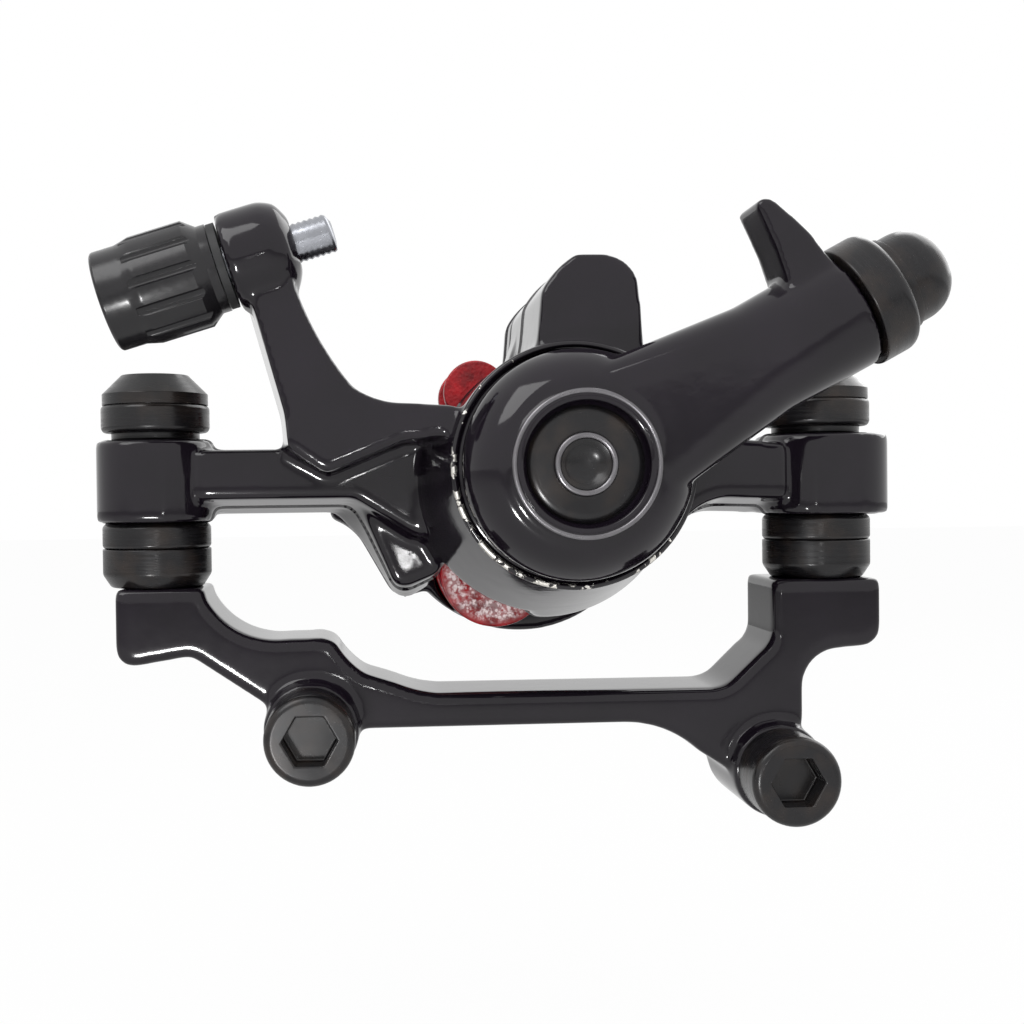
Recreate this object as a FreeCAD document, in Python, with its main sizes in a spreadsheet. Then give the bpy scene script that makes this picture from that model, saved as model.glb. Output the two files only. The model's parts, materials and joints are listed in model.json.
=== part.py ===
import FreeCAD, Part
import Sketcher
import math
import os

# Mechanical disc brake caliper with its two-hole frame adapter, in millimetres.
# +X runs from the cable stop to the lever tip, +Z away from the wheel axle, +Y towards the wheel.
# The origin is midway between the two faces that meet the frame's mounting tabs.

SIZES = {
    "Frame tab pattern": [
        ("tab_spacing", 51.0, "between the two tab bolts"),
        ("tab_tilt", 6.1, "degrees that the pattern leans"),
        ("tab_boss_radius", 5.15, ""),
        ("tab_head_radius", 4.75, "socket head of a tab bolt"),
        ("tab_head_height", 6.0, ""),
        ("tab_head_round", 0.9, "rounded rim of the head"),
    ],
    "Adapter": [
        ("plate_front", 1.5, "front face, behind the tab faces"),
        ("plate_depth", 11.0, ""),
        ("post_top", 18.0, "seat of the washer stacks"),
        ("left_block_outside", 3.9, "from the left post's axis to the block's outer side"),
        ("left_block_width", 9.6, ""),
        ("right_block_width", 12.0, ""),
        ("right_block_inside", 6.5, "from the right post's axis to the block's inner side"),
        ("bar_bottom", 2.5, ""),
        ("bar_height", 3.7, ""),
        ("shelf_height", 12.4, "top of the hump over the left boss"),
        ("block_bottom", 10.4, "underside of both post blocks"),
        ("cast_edge", 0.5, "rounded front edges of the castings"),
    ],
    "Posts and washers": [
        ("post_spacing", 74.0, "between the two post bolts"),
        ("post_middle_x", -5.3, ""),
        ("post_axis_y", 7.0, ""),
        ("bolt_radius", 2.95, "M6 shank"),
        ("bolt_clearance", 0.05, "radial, shank in its hole"),
        ("washer_radius", 5.9, ""),
        ("washer_bore", 3.6, "bore of a ball washer, wide enough to tilt"),
        ("ball_gap", 0.12, "between ball and cup"),
        ("cup_rim", 4.3, "rim height of a lower cup"),
        ("cup_foot", 1.4, "height of the cup's tapered foot"),
        ("ball_rim", 2.7, "rim height of a lower ball washer"),
        ("small_ball_radius", 4.8, "outer radius of an upper ball washer"),
        ("small_ball_rim", 1.0, ""),
        ("upper_stack", 3.9, "lug top to bolt head"),
        ("post_head_radius", 5.75, ""),
        ("post_head_height", 3.3, ""),
        ("post_head_bevel", 2.1, ""),
        ("post_bolt_end", 10.9, "height of the bolt's lower end"),
        ("hex_width", 5.0, "across flats of an M6 socket"),
        ("hex_depth", 2.8, ""),
    ],
    "Lugs and arms": [
        ("lug_width", 12.4, ""),
        ("lug_depth", 13.5, ""),
        ("lug_height", 8.9, ""),
        ("lug_corner", 5.2, "the lugs are nearly round in front"),
        ("slot_length", 9.5, "lug slot, end to end"),
        ("slot_radius", 3.3, ""),
        ("arm_front", 1.2, "front face of the two arms"),
        ("arm_height", 5.2, ""),
        ("arm_rise", 2.48, "underside of an arm at its front, above the lug's underside"),
        ("arm_draft", 1.9, "how much lower the arms are at their back"),
        ("foot_setback", 2.8, "front of the foot under the left arm, behind the arm's front"),
        ("right_lug_extra", 1.2, "how much farther out the right lug reaches"),
    ],
    "Caliper body": [
        ("cam_aside", 6.6, "lever and piston axis, from midway between the posts"),
        ("cam_rise", 5.38, "above the lugs' underside"),
        ("rotor_y", 15.3, "rotor's middle plane"),
        ("rotor_slot", 7.0, "width of the slot that the rotor runs in"),
        ("slot_height", 12.0, "its roof above the axis"),
        ("housing_depth", 23.5, "front face of the housing to the slot"),
        ("housing_radius", 11.9, "at its front"),
        ("flange_radius", 14.8, "at its back"),
        ("flange_start", 5.0, ""),
        ("inner_depth", 8.2, "depth of the inboard half"),
        ("inner_radius", 15.2, ""),
        ("bridge_setback", 2.7, "its front behind the housing's"),
        ("bridge_height", 21.3, "its top above the axis"),
        ("bridge_width", 10.7, ""),
        ("cavity_radius", 9.2, "bore for cam and piston"),
        ("housing_wall", 5.7, "front wall round the shaft"),
        ("bush_seat_radius", 5.05, ""),
    ],
    "Cable stop": [
        ("stop_angle", 17.1, "degrees that the barrel rises"),
        ("stop_reach", 2.85, "outer end of the knob past the left post's axis"),
        ("stop_rise", 17.0, "outer end of the knob above the lever's axis"),
        ("boss_start", 12.9, "from the knob's outer end"),
        ("boss_length", 7.2, ""),
        ("boss_radius", 5.1, ""),
        ("boss_round", 2.6, "how much its inner end is rounded"),
        ("strut_depth", 11.8, ""),
        ("strut_draft", 1.1, "how much wider the strut is at its back"),
        ("screw_radius", 2.0, "threaded barrel"),
        ("screw_out", 3.4, "barrel showing past the boss"),
        ("knob_radius", 5.1, "plain part of the knob"),
        ("flute_radius", 5.5, ""),
        ("knob_length", 11.8, ""),
        ("knob_plain", 2.6, ""),
        ("knob_neck", 4.5, ""),
        ("flute_count", 12.0, ""),
        ("flute_cut", 0.6, "radius of a flute's groove"),
        ("seat_radius", 2.6, "cable housing seat in the knob"),
        ("seat_depth", 9.0, ""),
        ("cable_hole", 1.1, ""),
        ("ring_radius", 4.4, "detent ring under the knob"),
        ("ring_height", 0.9, ""),
    ],
    "Lever": [
        ("lever_angle", 28.5, "degrees above +X at rest"),
        ("hub_gap", 0.7, "between the hub and the housing"),
        ("hub_depth", 6.1, ""),
        ("hub_radius", 11.3, ""),
        ("rim_height", 1.0, "raised ring on the hub"),
        ("rim_outer", 6.8, ""),
        ("rim_inner", 6.0, ""),
        ("recess_radius", 5.9, ""),
        ("bolt_flange", 5.6, "flange of the lever bolt"),
        ("bolt_ring", 2.95, "raised ring in the middle of its head"),
        ("spring_room", 3.2, "depth of the spring's groove"),
        ("spring_inner", 6.7, ""),
        ("spring_outer", 9.3, ""),
        ("spring_wire", 0.4, "radius of its wire"),
        ("spring_turns", 2.0, ""),
        ("arm_offset", 0.4, "arm's centre line above the hub's"),
        ("arm_root", 6.0, ""),
        ("arm_root_width", 14.6, ""),
        ("arm_root_depth", 6.0, ""),
        ("arm_waist", 20.0, ""),
        ("arm_waist_width", 11.2, ""),
        ("arm_waist_depth", 9.4, ""),
        ("arm_end", 29.8, ""),
        ("fin_start", 24.7, "cable guide, from the hub's axis"),
        ("fin_top", 13.9, "height of its tip over the axis"),
        ("fin_depth", 6.8, ""),
        ("arm_end_width", 11.4, ""),
        ("collar_radius", 6.1, "clamp washer"),
        ("collar_length", 4.0, ""),
        ("collar_gap", 0.3, "to the arm's end"),
        ("collar_round", 1.2, ""),
        ("clamp_neck_radius", 4.75, ""),
        ("dome_radius", 4.5, ""),
        ("dome_length", 5.8, ""),
        ("dome_round", 3.5, ""),
        ("clamp_shank", 2.45, ""),
        ("clamp_depth", 9.0, ""),
    ],
    "Ball ramp": [
        ("shaft_radius", 3.5, ""),
        ("cam_radius", 8.8, ""),
        ("cam_depth", 5.0, "thickness of the cam's flange"),
        ("ball_radius", 2.0, ""),
        ("ball_pitch", 6.1, "pitch circle radius of the balls"),
        ("ball_count", 3.0, ""),
        ("ball_seat", 1.0, "ball centre behind the cam's face"),
        ("ramp_clearance", 0.15, ""),
        ("ramp_travel", 1.4, "piston travel over the lever's swing"),
        ("lever_swing", 36.0, "degrees"),
        ("piston_radius", 9.12, ""),
        ("bush_outer", 5.0, ""),
        ("bush_inner", 3.56, ""),
        ("thrust_radius", 8.6, ""),
        ("key_radius", 0.8, ""),
        ("magnet_radius", 3.2, ""),
        ("magnet_depth", 2.0, ""),
    ],
    "Pads": [
        ("backing_depth", 1.8, ""),
        ("friction_depth", 2.0, ""),
        ("pad_gap", 4.6, "between the two friction faces at rest"),
        ("pad_radius", 11.4, ""),
        ("lobe_radius", 6.3, ""),
        ("ear_radius", 3.6, ""),
        ("pad_clearance", 0.3, "pad edge to its recess"),
        ("friction_margin", 1.3, "friction block inside the plate's edge"),
    ],
    "Inboard adjuster": [
        ("plunger_radius", 7.0, ""),
        ("plunger_clearance", 0.1, ""),
        ("stem_radius", 3.9, ""),
        ("dial_radius", 8.6, ""),
        ("dial_depth", 3.6, ""),
        ("dial_notches", 10.0, ""),
        ("notch_radius", 1.1, ""),
        ("dial_gap", 0.3, ""),
    ],
    "Body bolt": [
        ("body_bolt_radius", 2.45, "M5 shank"),
        ("body_head_radius", 4.2, ""),
        ("body_head_height", 4.6, ""),
        ("dowel_radius", 0.9, ""),
        ("dowel_spread", 3.7, ""),
    ],
}

# Sizes and places that follow from the ones above, each with its formula

TIED_SIZES = [
    ("lug_bottom", "post_top + cup_rim + ball_gap + ball_rim", ""),
    ("arm_bottom", "lug_bottom + arm_rise", ""),
    ("cam_x", "post_middle_x + cam_aside", ""),
    ("cam_z", "lug_bottom + cam_rise", ""),
    ("slot_front", "rotor_y - rotor_slot / 2", "outboard wall of the slot"),
    ("slot_back", "rotor_y + rotor_slot / 2", "inboard wall of the slot"),
    ("slot_top", "cam_z + slot_height", ""),
    ("housing_front", "slot_front - housing_depth", ""),
    ("flange_x", "cam_x - 1.0", ""),
    ("flange_z", "cam_z - 1.7", ""),
    ("inner_x", "cam_x - 1.9", ""),
    ("inner_z", "cam_z - 4.2", ""),
    ("bridge_front", "housing_front + bridge_setback", ""),
    ("bridge_top", "cam_z + bridge_height", ""),
    ("bridge_left", "cam_x - 2.8", ""),
    ("bridge_right", "bridge_left + bridge_width", ""),
    ("cavity_floor", "housing_front + housing_wall", ""),
    ("stop_x", "post_middle_x - post_spacing / 2 - stop_reach", ""),
    ("stop_y", "housing_front + 5.7", ""),
    ("stop_z", "cam_z + stop_rise", ""),
    ("strut_front", "stop_y - 3.4", ""),
    ("hub_back", "housing_front - hub_gap", ""),
    ("hub_front", "hub_back - hub_depth", ""),
    ("rim_front", "hub_front - rim_height", ""),
    ("recess_floor", "hub_front + 0.6", ""),
    ("arm_middle_y", "hub_back - 3.2", ""),
    ("piston_front", "slot_front - 10.5", ""),
    ("lobe_x", "cam_x - 5.9", ""),
    ("lobe_z", "cam_z - 11.6", ""),
    ("ear_x", "cam_x - 7.9", ""),
    ("ear_z", "cam_z + 8.8", ""),
    ("body_bolt_x", "bridge_left + bridge_width / 2 - 0.05", ""),
    ("body_bolt_z", "bridge_top - 4.8", ""),
    ("dowel_z", "bridge_top - 7.2", ""),
]

doc = FreeCAD.newDocument("disc_brake_caliper")
sheet = doc.addObject("Spreadsheet::Sheet", "Sizes")


class Size:
    """A length or angle: its number, and the sheet expression that gives it."""

    def __init__(self, value, text=None):
        self.value = float(value)
        self.text = text or f"({self.value:g})"

    def _join(self, other, mark, value):
        return Size(value, f"({self.text} {mark} {other.text})")

    def __add__(self, other):
        other = as_size(other)
        return self._join(other, "+", self.value + other.value)

    def __sub__(self, other):
        other = as_size(other)
        return self._join(other, "-", self.value - other.value)

    def __mul__(self, other):
        other = as_size(other)
        return self._join(other, "*", self.value * other.value)

    def __truediv__(self, other):
        other = as_size(other)
        return self._join(other, "/", self.value / other.value)

    def __neg__(self):
        return Size(-self.value, f"(0 - {self.text})")

    def __radd__(self, other):
        return as_size(other) + self

    def __rsub__(self, other):
        return as_size(other) - self

    def __rmul__(self, other):
        return as_size(other) * self


def as_size(number):
    return number if isinstance(number, Size) else Size(number)


def cosine(angle):
    return Size(math.cos(math.radians(angle.value)), f"cos({angle.text})")


def sine(angle):
    return Size(math.sin(math.radians(angle.value)), f"sin({angle.text})")


def square_root(number):
    return Size(math.sqrt(number.value), f"sqrt({number.text})")


class Sheet:
    """The driving dimensions, each under its alias."""


def fill_sheet():
    """Writes each size to its cell, then the formulas that tie other cells to them."""
    sizes = Sheet()
    row = 1
    cells = []
    for section, lines in [*SIZES.items(), ("Tied to others", TIED_SIZES)]:
        sheet.set(f"A{row}", section)
        row += 1
        for alias, value, note in lines:
            sheet.set(f"A{row}", note or alias.replace("_", " "))
            sheet.setAlias(f"B{row}", alias)
            cells.append((f"B{row}", alias, f"={value}"))
            row += 1
    for cell, alias, text in cells:
        sheet.set(cell, text)
    doc.recompute()
    for cell, alias, text in cells:
        setattr(sizes, alias, Size(getattr(sheet, alias), f"Sizes.{alias}"))
    return sizes


s = fill_sheet()


# Small tools that bind features to the sheet

PLANE_SIGN = {"XY_Plane": 1, "XZ_Plane": -1, "YZ_Plane": 1}


def bind(thing, prop, value):
    """Sets a property and ties it to the sheet."""
    value = as_size(value)
    if "." not in prop:
        setattr(thing, prop, value.value)
    thing.setExpression(prop, value.text)


def place(thing, at, axis=None, angle=0, field="Placement"):
    """Moves a thing to a point and turns it about an axis through it."""
    x, y, z = (as_size(c) for c in at)
    turn = FreeCAD.Rotation(FreeCAD.Vector(*axis), as_size(angle).value) if axis else FreeCAD.Rotation()
    setattr(thing, field, FreeCAD.Placement(FreeCAD.Vector(x.value, y.value, z.value), turn))
    for name, value in (("x", x), ("y", y), ("z", z)):
        thing.setExpression(f"{field}.Base.{name}", value.text)
    if axis and isinstance(angle, Size):
        thing.setExpression(f"{field}.Rotation.Angle", angle.text)


def new_body(label, at=None, axis=None, angle=0):
    body = doc.addObject("PartDesign::Body", label)
    body.Label = label
    if at:
        place(body, at, axis, angle)
    return body


def new_sketch(body, plane, level=0):
    """A sketch on one of the body's own planes, moved along that plane's axis to a level."""
    sketch = body.newObject("Sketcher::SketchObject", body.Label + "_sketch")
    origin_plane = [f for f in body.Origin.OriginFeatures if f.Role == plane][0]
    sketch.AttachmentSupport = [(origin_plane, "")]
    sketch.MapMode = "FlatFace"
    offset = as_size(level) * PLANE_SIGN[plane]
    sketch.AttachmentOffset = FreeCAD.Placement(FreeCAD.Vector(0, 0, offset.value), FreeCAD.Rotation())
    sketch.setExpression("AttachmentOffset.Base.z", offset.text)
    return sketch


def fix_point(sketch, geometry, end, x, y):
    for kind, value in (("DistanceX", x), ("DistanceY", y)):
        number = sketch.addConstraint(Sketcher.Constraint(kind, -1, 1, geometry, end, value.value))
        sketch.setExpression(f"Constraints[{number}]", value.text)


def draw_outline(sketch, points):
    """A closed outline, anticlockwise. A point is (x, y) after a straight side, or (x, y, radius)
    after an arc that bulges outwards, or inwards where the radius is negative."""
    corners = [(as_size(p[0]), as_size(p[1])) for p in points]
    ends = []
    for i, point in enumerate(points):
        (ax, ay), (bx, by) = corners[i - 1], corners[i]
        a = FreeCAD.Vector(ax.value, ay.value, 0)
        b = FreeCAD.Vector(bx.value, by.value, 0)
        if len(point) == 2:
            geometry = sketch.addGeometry(Part.LineSegment(a, b))
            ends.append((geometry, 1, 2))
            continue
        radius = as_size(point[2])
        outwards = radius.value > 0
        size = radius if outwards else -radius
        chord = b - a
        rise = math.sqrt(max(size.value ** 2 - (chord.Length / 2) ** 2, 0))
        side = FreeCAD.Vector(-chord.y, chord.x, 0).normalize() * (rise if outwards else -rise)
        centre = (a + b) * 0.5 + side
        first, last = (a, b) if outwards else (b, a)
        start = math.atan2(first.y - centre.y, first.x - centre.x)
        stop = math.atan2(last.y - centre.y, last.x - centre.x)
        if stop <= start:
            stop += 2 * math.pi
        circle = Part.Circle(centre, FreeCAD.Vector(0, 0, 1), size.value)
        geometry = sketch.addGeometry(Part.ArcOfCircle(circle, start, stop))
        number = sketch.addConstraint(Sketcher.Constraint("Radius", geometry, size.value))
        sketch.setExpression(f"Constraints[{number}]", size.text)
        ends.append((geometry, 1, 2) if outwards else (geometry, 2, 1))
    for i, (geometry, _, last) in enumerate(ends):
        following, first, _ = ends[(i + 1) % len(ends)]
        sketch.addConstraint(Sketcher.Constraint("Coincident", geometry, last, following, first))
        fix_point(sketch, geometry, last, *corners[i])


def draw_circle(sketch, x, y, radius):
    x, y, radius = as_size(x), as_size(y), as_size(radius)
    centre = FreeCAD.Vector(x.value, y.value, 0)
    geometry = sketch.addGeometry(Part.Circle(centre, FreeCAD.Vector(0, 0, 1), radius.value))
    fix_point(sketch, geometry, 3, x, y)
    number = sketch.addConstraint(Sketcher.Constraint("Radius", geometry, radius.value))
    sketch.setExpression(f"Constraints[{number}]", radius.text)


def rounded_box(x, y, width, height, corner):
    """Outline points of a rectangle with round corners, about its centre."""
    left, right = x - width / 2, x + width / 2
    low, high = y - height / 2, y + height / 2
    return [
        (right - corner, low), (right, low + corner, corner), (right, high - corner),
        (right - corner, high, corner), (left + corner, high), (left, high - corner, corner),
        (left, low + corner), (left + corner, low, corner),
    ]


def hexagon(across):
    """Outline points of a hexagon of a given width across its flats, about the origin."""
    reach = across / math.sqrt(3)
    corners = []
    for i in range(6):
        turn = Size(60 * i)
        corners.append((reach * cosine(turn), reach * sine(turn)))
    return corners


def raise_solid(body, kind, sketch, length, reverse=False):
    """A pad or a pocket of the sketch."""
    feature = body.newObject("PartDesign::" + kind, body.Label + "_" + kind.lower())
    feature.Profile = sketch
    bind(feature, "Length", length)
    feature.Reversed = reverse
    sketch.Visibility = False
    return feature


def pad_back(body, points, front, depth):
    """A pad of an X-Z outline from a front level towards +Y."""
    sketch = new_sketch(body, "XZ_Plane", front)
    draw_outline(sketch, points)
    return raise_solid(body, "Pad", sketch, depth, reverse=True)


def loft_back(body, front_points, back_points, front, depth):
    """A solid towards +Y whose outline changes evenly from its front to its back."""
    sections = []
    for points, level in ((front_points, front), (back_points, front + depth)):
        sketch = new_sketch(body, "XZ_Plane", level)
        draw_outline(sketch, points)
        sections.append(sketch)
    loft = body.newObject("PartDesign::AdditiveLoft", body.Label + "_loft")
    loft.Profile = sections[0]
    loft.Sections = sections[1:]
    loft.Ruled = True
    return loft


def disc_back(body, x, z, radius, front, depth, kind="Pad"):
    """A round pad or pocket along +Y."""
    sketch = new_sketch(body, "XZ_Plane", front)
    draw_circle(sketch, x, z, radius)
    return raise_solid(body, kind, sketch, depth, reverse=(kind == "Pad"))


def turn_profile(body, plane, points, kind="Revolution"):
    """A solid of revolution about the sketch's upright axis."""
    sketch = new_sketch(body, plane)
    draw_outline(sketch, points)
    feature = body.newObject("PartDesign::" + kind, body.Label + "_turned")
    feature.Profile = sketch
    feature.ReferenceAxis = (sketch, ["V_Axis"])
    feature.Angle = 360
    return feature


def repeat_round(body, feature, sketch, count, axis="N_Axis"):
    """Copies a feature round the sketch's own origin."""
    pattern = body.newObject("PartDesign::PolarPattern", body.Label + "_pattern")
    pattern.Originals = [feature]
    pattern.Axis = (sketch, [axis])
    pattern.Angle = 360
    pattern.Occurrences = int(count.value)
    body.Tip = pattern
    return pattern


def soften(body, kind, radius, choose):
    """Rounds or bevels the edges of the body's tip for which choose(edge) is true."""
    doc.recompute()
    tip = body.Tip
    names = [f"Edge{i}" for i, edge in enumerate(tip.Shape.Edges, 1) if choose(edge)]
    feature = body.newObject("PartDesign::" + kind, body.Label + "_" + kind.lower())
    feature.Base = (tip, names)
    bind(feature, "Radius" if kind == "Fillet" else "Size", radius)
    return feature


def at_level(y):
    """Chooses the edges that lie in an X-Z plane."""
    return lambda edge: edge.BoundBox.YLength < 1e-6 and abs(edge.BoundBox.YMin - y.value) < 1e-6


def group(label, bodies):
    """Identical pieces that share one sub-part."""
    whole = doc.addObject("Part::Compound", label)
    whole.Label = label
    whole.Links = bodies
    return whole


sub_parts = {}


def keep(label, thing):
    sub_parts[label] = thing
    return thing


# Places that several pieces share

tab_x = s.tab_spacing / 2 * cosine(s.tab_tilt)
tab_z = s.tab_spacing / 2 * sine(s.tab_tilt)
plate_back = s.plate_front + s.plate_depth
posts_x = (s.post_middle_x - s.post_spacing / 2, s.post_middle_x + s.post_spacing / 2)
bolt_hole = s.bolt_radius + s.bolt_clearance
lug_top = s.lug_bottom + s.lug_height
lug_middle = s.lug_bottom + s.lug_height / 2
head_seat = lug_top + s.upper_stack
bar_top = s.bar_bottom + s.bar_height
inner_back = s.slot_back + s.inner_depth
cam_at = (s.cam_x, 0, s.cam_z)
outer_friction_face = s.rotor_y - s.pad_gap / 2
inner_friction_face = s.rotor_y + s.pad_gap / 2
outer_backing_front = outer_friction_face - s.friction_depth - s.backing_depth
inner_backing_back = inner_friction_face + s.friction_depth + s.backing_depth
stop_turn = 90 - s.stop_angle
stop_at = (s.stop_x, s.stop_y, s.stop_z)
lever_turn = -s.lever_angle


def along_stop(distance):
    """The point at a distance from the knob's outer end along the barrel."""
    return (s.stop_x + distance * cosine(s.stop_angle), s.stop_y,
            s.stop_z + distance * sine(s.stop_angle))


def from_cam(points):
    """Outline points round the lever's axis, and any bulges, as shares of the flange's radius."""
    reach = s.flange_radius
    return [(s.cam_x + reach * x, s.cam_z + reach * z, *(reach * b for b in bulge))
            for x, z, *bulge in points]


# Adapter that bolts to the frame and carries the two posts

def make_adapter():
    body = new_body("adapter_bracket")
    left = posts_x[0] - s.left_block_outside
    left_inside = left + s.left_block_width
    right_inside = posts_x[1] - s.right_block_inside
    right = right_inside + s.right_block_width
    pad_back(body, [
        (left, s.post_top), (left, s.block_bottom + 1.2), (left + 1.9, s.block_bottom - 0.7, 2.0),
        (left_inside - 1.6, s.block_bottom + 0.3), (-tab_x - 5.0, tab_z + 2.7),
        (-tab_x, tab_z - 3), (-tab_x + 4.6, s.bar_bottom),
        (8.6, s.bar_bottom + 0.1), (16.9, -0.7, -12),
        (tab_x - 4.6, -tab_z - 0.5), (tab_x, -tab_z - 3), (tab_x + 3.1, -tab_z + 5.2),
        (tab_x + 3.1, s.block_bottom - 4), (tab_x + 6.9, s.block_bottom - 0.1, -4.2),
        (right - 2.0, s.block_bottom + 0.1), (right, s.block_bottom + 2.2, 2.2),
        (right, s.post_top), (right_inside, s.post_top),
        (right_inside, s.shelf_height - 0.3), (right_inside - 1.1, s.shelf_height - 2.1, -2.5),
        (right_inside - 3.9, bar_top + 1.4), (right_inside - 6.6, bar_top, -4.0),
        (-11.6, bar_top), (-16.2, bar_top + 1.2, -14), (-19.4, bar_top + 2.2),
        (-22.6, s.shelf_height - 0.6, -9), (-25.4, s.shelf_height, 3.5),
        (-27.8, s.shelf_height), (left_inside, s.post_top - 1.0, -8.6), (left_inside, s.post_top),
    ], s.plate_front, s.plate_depth)
    soften(body, "Fillet", s.cast_edge, at_level(s.plate_front))
    for x, z in ((-tab_x, tab_z), (tab_x, -tab_z)):
        disc_back(body, x, z, s.tab_boss_radius, 0, plate_back)
    for x, z in ((-tab_x, tab_z), (tab_x, -tab_z)):
        hole = new_sketch(body, "XZ_Plane", 0)
        draw_circle(hole, x, z, bolt_hole)
        raise_solid(body, "Pocket", hole, plate_back + 1)
    for x in posts_x:
        hole = new_sketch(body, "XY_Plane", s.post_top)
        draw_circle(hole, x, s.post_axis_y, bolt_hole)
        raise_solid(body, "Pocket", hole, s.post_top - s.block_bottom + 3)
    return keep("adapter_bracket", body)


# Bolts

def socket_bolt(label, at, axis, angle, head_radius, head_height, shank_radius, shank_length, rim):
    """A socket head bolt along local +Z: its head below the origin plane, its shank above."""
    body = new_body(label, at, axis, angle)
    turn_profile(body, "XZ_Plane", [
        (0, -head_height), (head_radius - rim, -head_height), (head_radius, -head_height + rim, rim),
        (head_radius, 0), (shank_radius, 0), (shank_radius, shank_length - 0.6),
        (shank_radius - 0.6, shank_length), (0, shank_length),
    ])
    socket = new_sketch(body, "XY_Plane", -head_height)
    draw_outline(socket, hexagon(s.hex_width * (head_radius / s.tab_head_radius)))
    raise_solid(body, "Pocket", socket, s.hex_depth, reverse=True)
    return body


def make_tab_bolts():
    bolts = [
        socket_bolt(f"tab_bolt_{i}", (x, 0, z), (1, 0, 0), -90, s.tab_head_radius, s.tab_head_height,
                    s.bolt_radius, plate_back - 0.8, s.tab_head_round)
        for i, (x, z) in enumerate(((-tab_x, tab_z), (tab_x, -tab_z)))
    ]
    return keep("tab_bolts", group("tab_bolts", bolts))


def make_post_bolts():
    bolts = []
    for i, x in enumerate(posts_x):
        body = new_body(f"post_bolt_{i}", (x, s.post_axis_y, 0))
        top = head_seat + s.post_head_height
        turn_profile(body, "XZ_Plane", [
            (0, s.post_bolt_end), (s.bolt_radius - 0.6, s.post_bolt_end),
            (s.bolt_radius, s.post_bolt_end + 0.6), (s.bolt_radius, head_seat),
            (s.post_head_radius, head_seat), (s.post_head_radius, top - s.post_head_bevel),
            (s.post_head_radius - s.post_head_bevel, top), (0, top),
        ])
        socket = new_sketch(body, "XY_Plane", top)
        draw_outline(socket, hexagon(s.hex_width))
        raise_solid(body, "Pocket", socket, s.hex_depth)
        bolts.append(body)
    return keep("post_bolts", group("post_bolts", bolts))


# Ball washers: every ball is centred on the middle of its lug, so that the caliper can tilt

def ball_height(radius, reach):
    """How far above its centre a ball of one radius stands at a distance from the axis."""
    return square_root(radius * radius - reach * reach)


def make_washers():
    low_rim = s.post_top + s.cup_rim
    low_ball = square_root(s.washer_radius * s.washer_radius
                           + (lug_middle - low_rim) * (lug_middle - low_rim))
    low_ball_face = low_ball - s.ball_gap
    high_rim = lug_top + s.small_ball_rim
    high_ball_face = square_root(s.small_ball_radius * s.small_ball_radius
                                 + (high_rim - lug_middle) * (high_rim - lug_middle))
    high_cup = high_ball_face + s.ball_gap
    cup_mouth = s.small_ball_radius + 0.3
    profiles = {
        "lower_cup_washers": [
            (bolt_hole, s.post_top), (s.washer_radius - 0.9, s.post_top),
            (s.washer_radius, s.post_top + s.cup_foot), (s.washer_radius, low_rim),
            (bolt_hole, lug_middle - ball_height(low_ball, bolt_hole), -low_ball),
        ],
        "lower_ball_washers": [
            (s.washer_bore, lug_middle - ball_height(low_ball_face, s.washer_bore)),
            (s.washer_radius, lug_middle - ball_height(low_ball_face, s.washer_radius), low_ball_face),
            (s.washer_radius, s.lug_bottom - 0.5), (s.washer_radius - 0.5, s.lug_bottom),
            (s.washer_bore, s.lug_bottom),
        ],
        "upper_ball_washers": [
            (s.washer_bore, lug_top), (s.small_ball_radius, lug_top), (s.small_ball_radius, high_rim),
            (s.washer_bore, lug_middle + ball_height(high_ball_face, s.washer_bore), high_ball_face),
        ],
        "upper_cup_washers": [
            (bolt_hole, lug_middle + ball_height(high_cup, bolt_hole)),
            (cup_mouth, lug_middle + ball_height(high_cup, cup_mouth), -high_cup),
            (s.washer_radius - 0.3, lug_middle + ball_height(high_cup, cup_mouth)),
            (s.washer_radius, high_rim + 0.3), (s.washer_radius, head_seat - 0.3),
            (s.washer_radius - 0.3, head_seat), (bolt_hole, head_seat),
        ],
    }
    for label, profile in profiles.items():
        pair = []
        for i, x in enumerate(posts_x):
            body = new_body(f"{label}_{i}", (x, s.post_axis_y, 0))
            turn_profile(body, "XZ_Plane", profile)
            pair.append(body)
        keep(label, group(label, pair))


# Caliper body, outboard half: housing, two arms with slotted lugs, bridge and cable stop

def bridge_outline(bottom):
    """The bridge's section above a bottom level: round at its right, with a long bevel at its left."""
    return [
        (s.bridge_left - 1.2, bottom), (s.bridge_right + 0.3, bottom),
        (s.bridge_right - 0.7, s.bridge_top - 3.0), (s.bridge_right - 4.0, s.bridge_top, 3.8),
        (s.bridge_left + 3.6, s.bridge_top), (s.bridge_left + 0.1, s.bridge_top - 3.7, 10.0),
        (s.bridge_left - 0.1, s.bridge_top - 6.1),
    ]


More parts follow.
